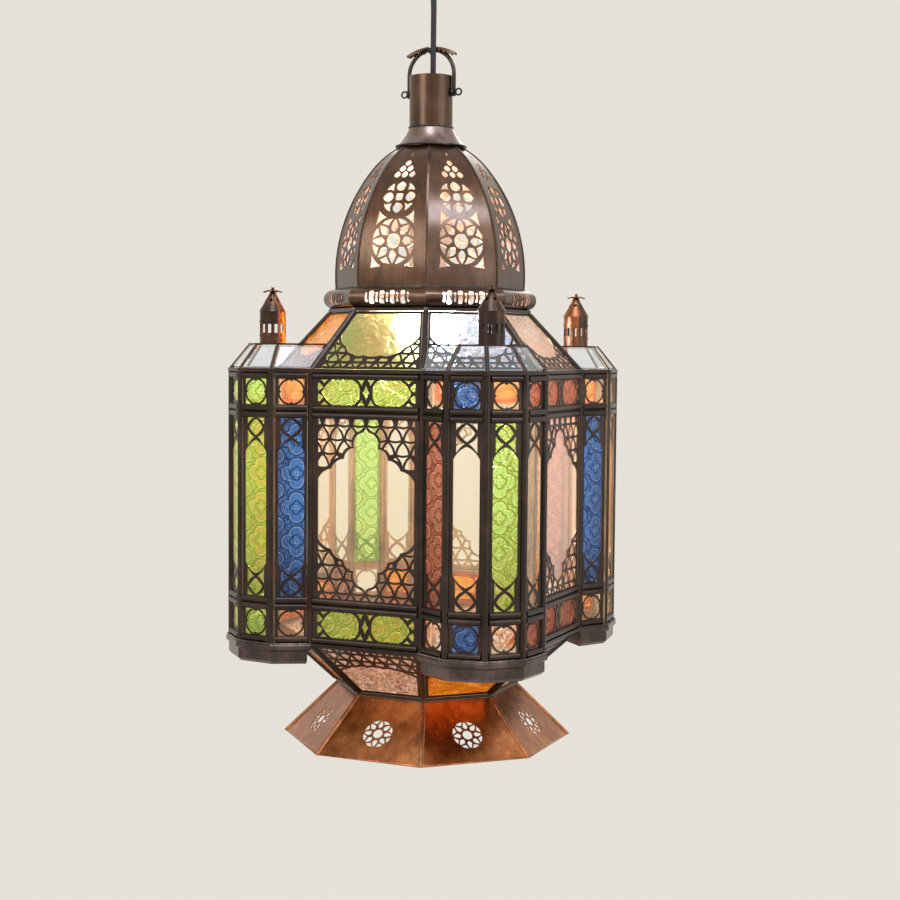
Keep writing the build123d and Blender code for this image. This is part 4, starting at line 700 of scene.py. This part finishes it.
def grow(name, routes, closed, tree, slot, **values):
    """Piece of the lantern grown by a tree from lines through the given points."""
    mesh = bmesh.new()
    for route in routes:
        corners = [mesh.verts.new(point) for point in route]
        ends = corners[1:] + (corners[:1] if closed else [])
        for first, second in zip(corners, ends):
            mesh.edges.new((first, second))
    source = bpy.data.meshes.new(name + "_lines")
    mesh.to_mesh(source)
    mesh.free()
    piece = link(name, source)
    modifier = piece.modifiers.new("grow", "NODES")
    modifier.node_group = tree
    for item in tree.interface.items_tree:
        if item.in_out == "INPUT" and item.name in values:
            modifier[item.identifier] = values[item.name]
    grown = bpy.data.meshes.new_from_object(piece.evaluated_get(bpy.context.evaluated_depsgraph_get()))
    piece.modifiers.clear()
    piece.data = grown
    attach(piece, "lantern")


def polar(radius, degrees, level=0.0):
    """Point at a radius and an angle from the axis."""
    turn = math.radians(degrees)
    return Vector((radius * math.cos(turn), radius * math.sin(turn), level))


def ring_line(radius, level, corners=8):
    """Corners of a level of the body, or of a round."""
    return [polar(radius, 360 / corners * k, level) for k in range(corners)]


def turret_line(angle, out, level):
    """Six plan corners of a turret, moved outwards square to its facets."""
    half_side = core_corner_radius * math.sin(math.radians(half_step))
    turns = [facet_turn * (k - turret_facets // 2) for k in range(turret_facets)]
    length = 2 * half_side / sum(math.cos(math.radians(turn)) for turn in turns)
    mitre = out / math.cos(math.radians(facet_turn / 2))
    corner = Vector((core_corner_radius * math.cos(math.radians(half_step)), -half_side, level))
    line = [corner + polar(out, turns[0])]
    for turn in turns:
        corner = corner + polar(length, turn + 90)
        if turn != turns[-1]:
            line.append(corner + polar(mitre, turn + facet_turn / 2))
    line.append(corner + polar(out, turns[-1]))
    return [Matrix.Rotation(math.radians(angle), 3, "Z") @ point for point in line]


# How far the trim stands off the part's own faces, and its thickness
strip_out = 0.0037
strip_level = sill_level + half_rail - 0.0005
bead_spacing = 0.0025
bead_radius = 0.0011
hem_level = rim_level + 0.0010
wire_radius = 0.0009
sheet_seam_out = 0.0004
neck_seam_out = 0.0002
body_dot_out = 0.0022
roof_dot_out = 0.0025
dot_radius = 0.0022

grow("foot_beading", [turret_line(angle, strip_out, strip_level) for angle in turret_angles], False,
     bead_strip_tree(milled_copper), slot_of["turret_feet"], Spacing=bead_spacing, Radius=bead_radius)
grow("skirt_hem", [ring_line(rim_corner_radius, hem_level)], True, wire_tree(skirt_copper),
     slot_of["skirt_panels"], Radius=wire_radius)
grow("seam_solder", [ring_line(cone_foot_radius + sheet_seam_out, cone_foot_level, 64),
                     ring_line(neck_radius + neck_seam_out, cone_top_level, 48),
                     ring_line(dome_corner_radius + sheet_seam_out, dome_base_level)],
     True, wire_tree(solder_line), slot_of["dome_ring"], Radius=wire_radius)
solder_places = ring_line(core_corner_radius + body_dot_out, eaves_level + half_rail)
solder_places += ring_line(core_corner_radius + body_dot_out, sill_level - half_rail)
solder_places += ring_line(roof_top_corner_radius + roof_dot_out, roof_top_level)
grow("solder_dots", [[place] for place in solder_places], False, dots_tree(solder), slot_of["body_rings"],
     Radius=dot_radius)

# Stage and light

paper = (0.90, 0.86, 0.78, 1)
paper_strength = 0.88
floor_colour = (0.86, 0.83, 0.78, 1)
floor_reach = 30.0
floor_level = rim_level - 1.2
floor_share = 0.86
floor_lift = 1.07
room_colour = (0.95, 0.92, 0.88, 1)
room_strength = 0.5
lantern_middle = Vector((0, 0, (eaves_level + sill_level) / 2))


def seen_directly(tree):
    """1 where a surface is seen by the camera, in a mirror or through glass."""
    path = new_node(tree, "ShaderNodeLightPath").outputs
    mirrored = maths(tree, "MAXIMUM", path["Is Glossy Ray"], path["Is Transmission Ray"])
    return maths(tree, "MAXIMUM", path["Is Camera Ray"], mirrored)


def add_floor():
    """Wide pale floor far below the hanging lantern."""
    mesh = bmesh.new()
    corners = [mesh.verts.new((x * floor_reach, y * floor_reach, floor_level))
               for x, y in ((-1, -1), (1, -1), (1, 1), (-1, 1))]
    mesh.faces.new(corners)
    data = bpy.data.meshes.new("floor")
    mesh.to_mesh(data)
    mesh.free()
    material, tree, output = new_material("floor_paper")
    matt = new_node(tree, "ShaderNodeBsdfPrincipled", {"Base Color": floor_colour, "Roughness": 0.9})
    pale = new_node(tree, "ShaderNodeEmission", {"Color": paper, "Strength": paper_strength * floor_lift})
    share = maths(tree, "MULTIPLY", seen_directly(tree), floor_share)
    both = new_node(tree, "ShaderNodeMixShader", {0: share, 1: matt.outputs[0], 2: pale.outputs[0]})
    tree.links.new(both.outputs[0], output.inputs["Surface"])
    data.materials.append(material)
    link("floor", data)


def add_world():
    """Pale surroundings: plain light for the object, and a lighter tone where they are seen directly."""
    world = bpy.data.worlds.new("studio")
    world.use_nodes = True
    tree = world.node_tree
    tree.nodes.clear()
    output = tree.nodes.new("ShaderNodeOutputWorld")
    light = new_node(tree, "ShaderNodeBackground", {"Color": room_colour, "Strength": room_strength})
    pale = new_node(tree, "ShaderNodeBackground", {"Color": paper, "Strength": paper_strength})
    both = new_node(tree, "ShaderNodeMixShader",
                    {0: seen_directly(tree), 1: light.outputs[0], 2: pale.outputs[0]})
    tree.links.new(both.outputs[0], output.inputs["Surface"])
    bpy.context.scene.world = world


def add_area(name, place, size, power, colour):
    """Soft round light that faces the middle of the lantern."""
    data = bpy.data.lights.new(name, "AREA")
    data.shape = "DISK"
    data.size = size
    data.energy = power
    data.color = colour
    light = link(name, data)
    toward = lantern_middle - Vector(place)
    light.matrix_world = Matrix.Translation(place) @ toward.to_track_quat("-Z", "Y").to_matrix().to_4x4()


add_floor()
add_world()
add_area("key_light", place=(-1.5, -1.6, 0.5), size=1.2, power=17, colour=(1.0, 0.92, 0.82))
add_area("fill_light", place=(1.8, -1.0, -0.2), size=1.4, power=9, colour=(0.92, 0.96, 1.0))
add_area("strip_light", place=(0.95, -1.05, 0.85), size=0.5, power=14, colour=(0.74, 0.84, 1.0))
add_area("top_light", place=(-0.1, -0.9, 1.3), size=0.8, power=16, colour=(0.82, 0.89, 1.0))
add_area("back_light", place=(0.2, 2.0, 0.4), size=1.4, power=10, colour=(1.0, 0.97, 0.92))

lamp_power = 30
lamp_colour = (1.0, 0.85, 0.70)
lamp_swell = 1.05


def add_lamp_light():
    """Light of the lamp itself, a little larger than its globe and moving with the lantern."""
    low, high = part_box("bulb")
    globe_radius = (high[0] - low[0]) / 2
    data = bpy.data.lights.new("lamp_light", "POINT")
    data.energy = lamp_power
    data.color = lamp_colour
    data.shadow_soft_size = globe_radius * lamp_swell
    lamp = link("lamp_light", data)
    lamp.location = ((low[0] + high[0]) / 2, (low[1] + high[1]) / 2, low[2] + globe_radius)
    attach(lamp, "lantern")


add_lamp_light()

scene = bpy.context.scene
scene.view_settings.view_transform = "Standard"
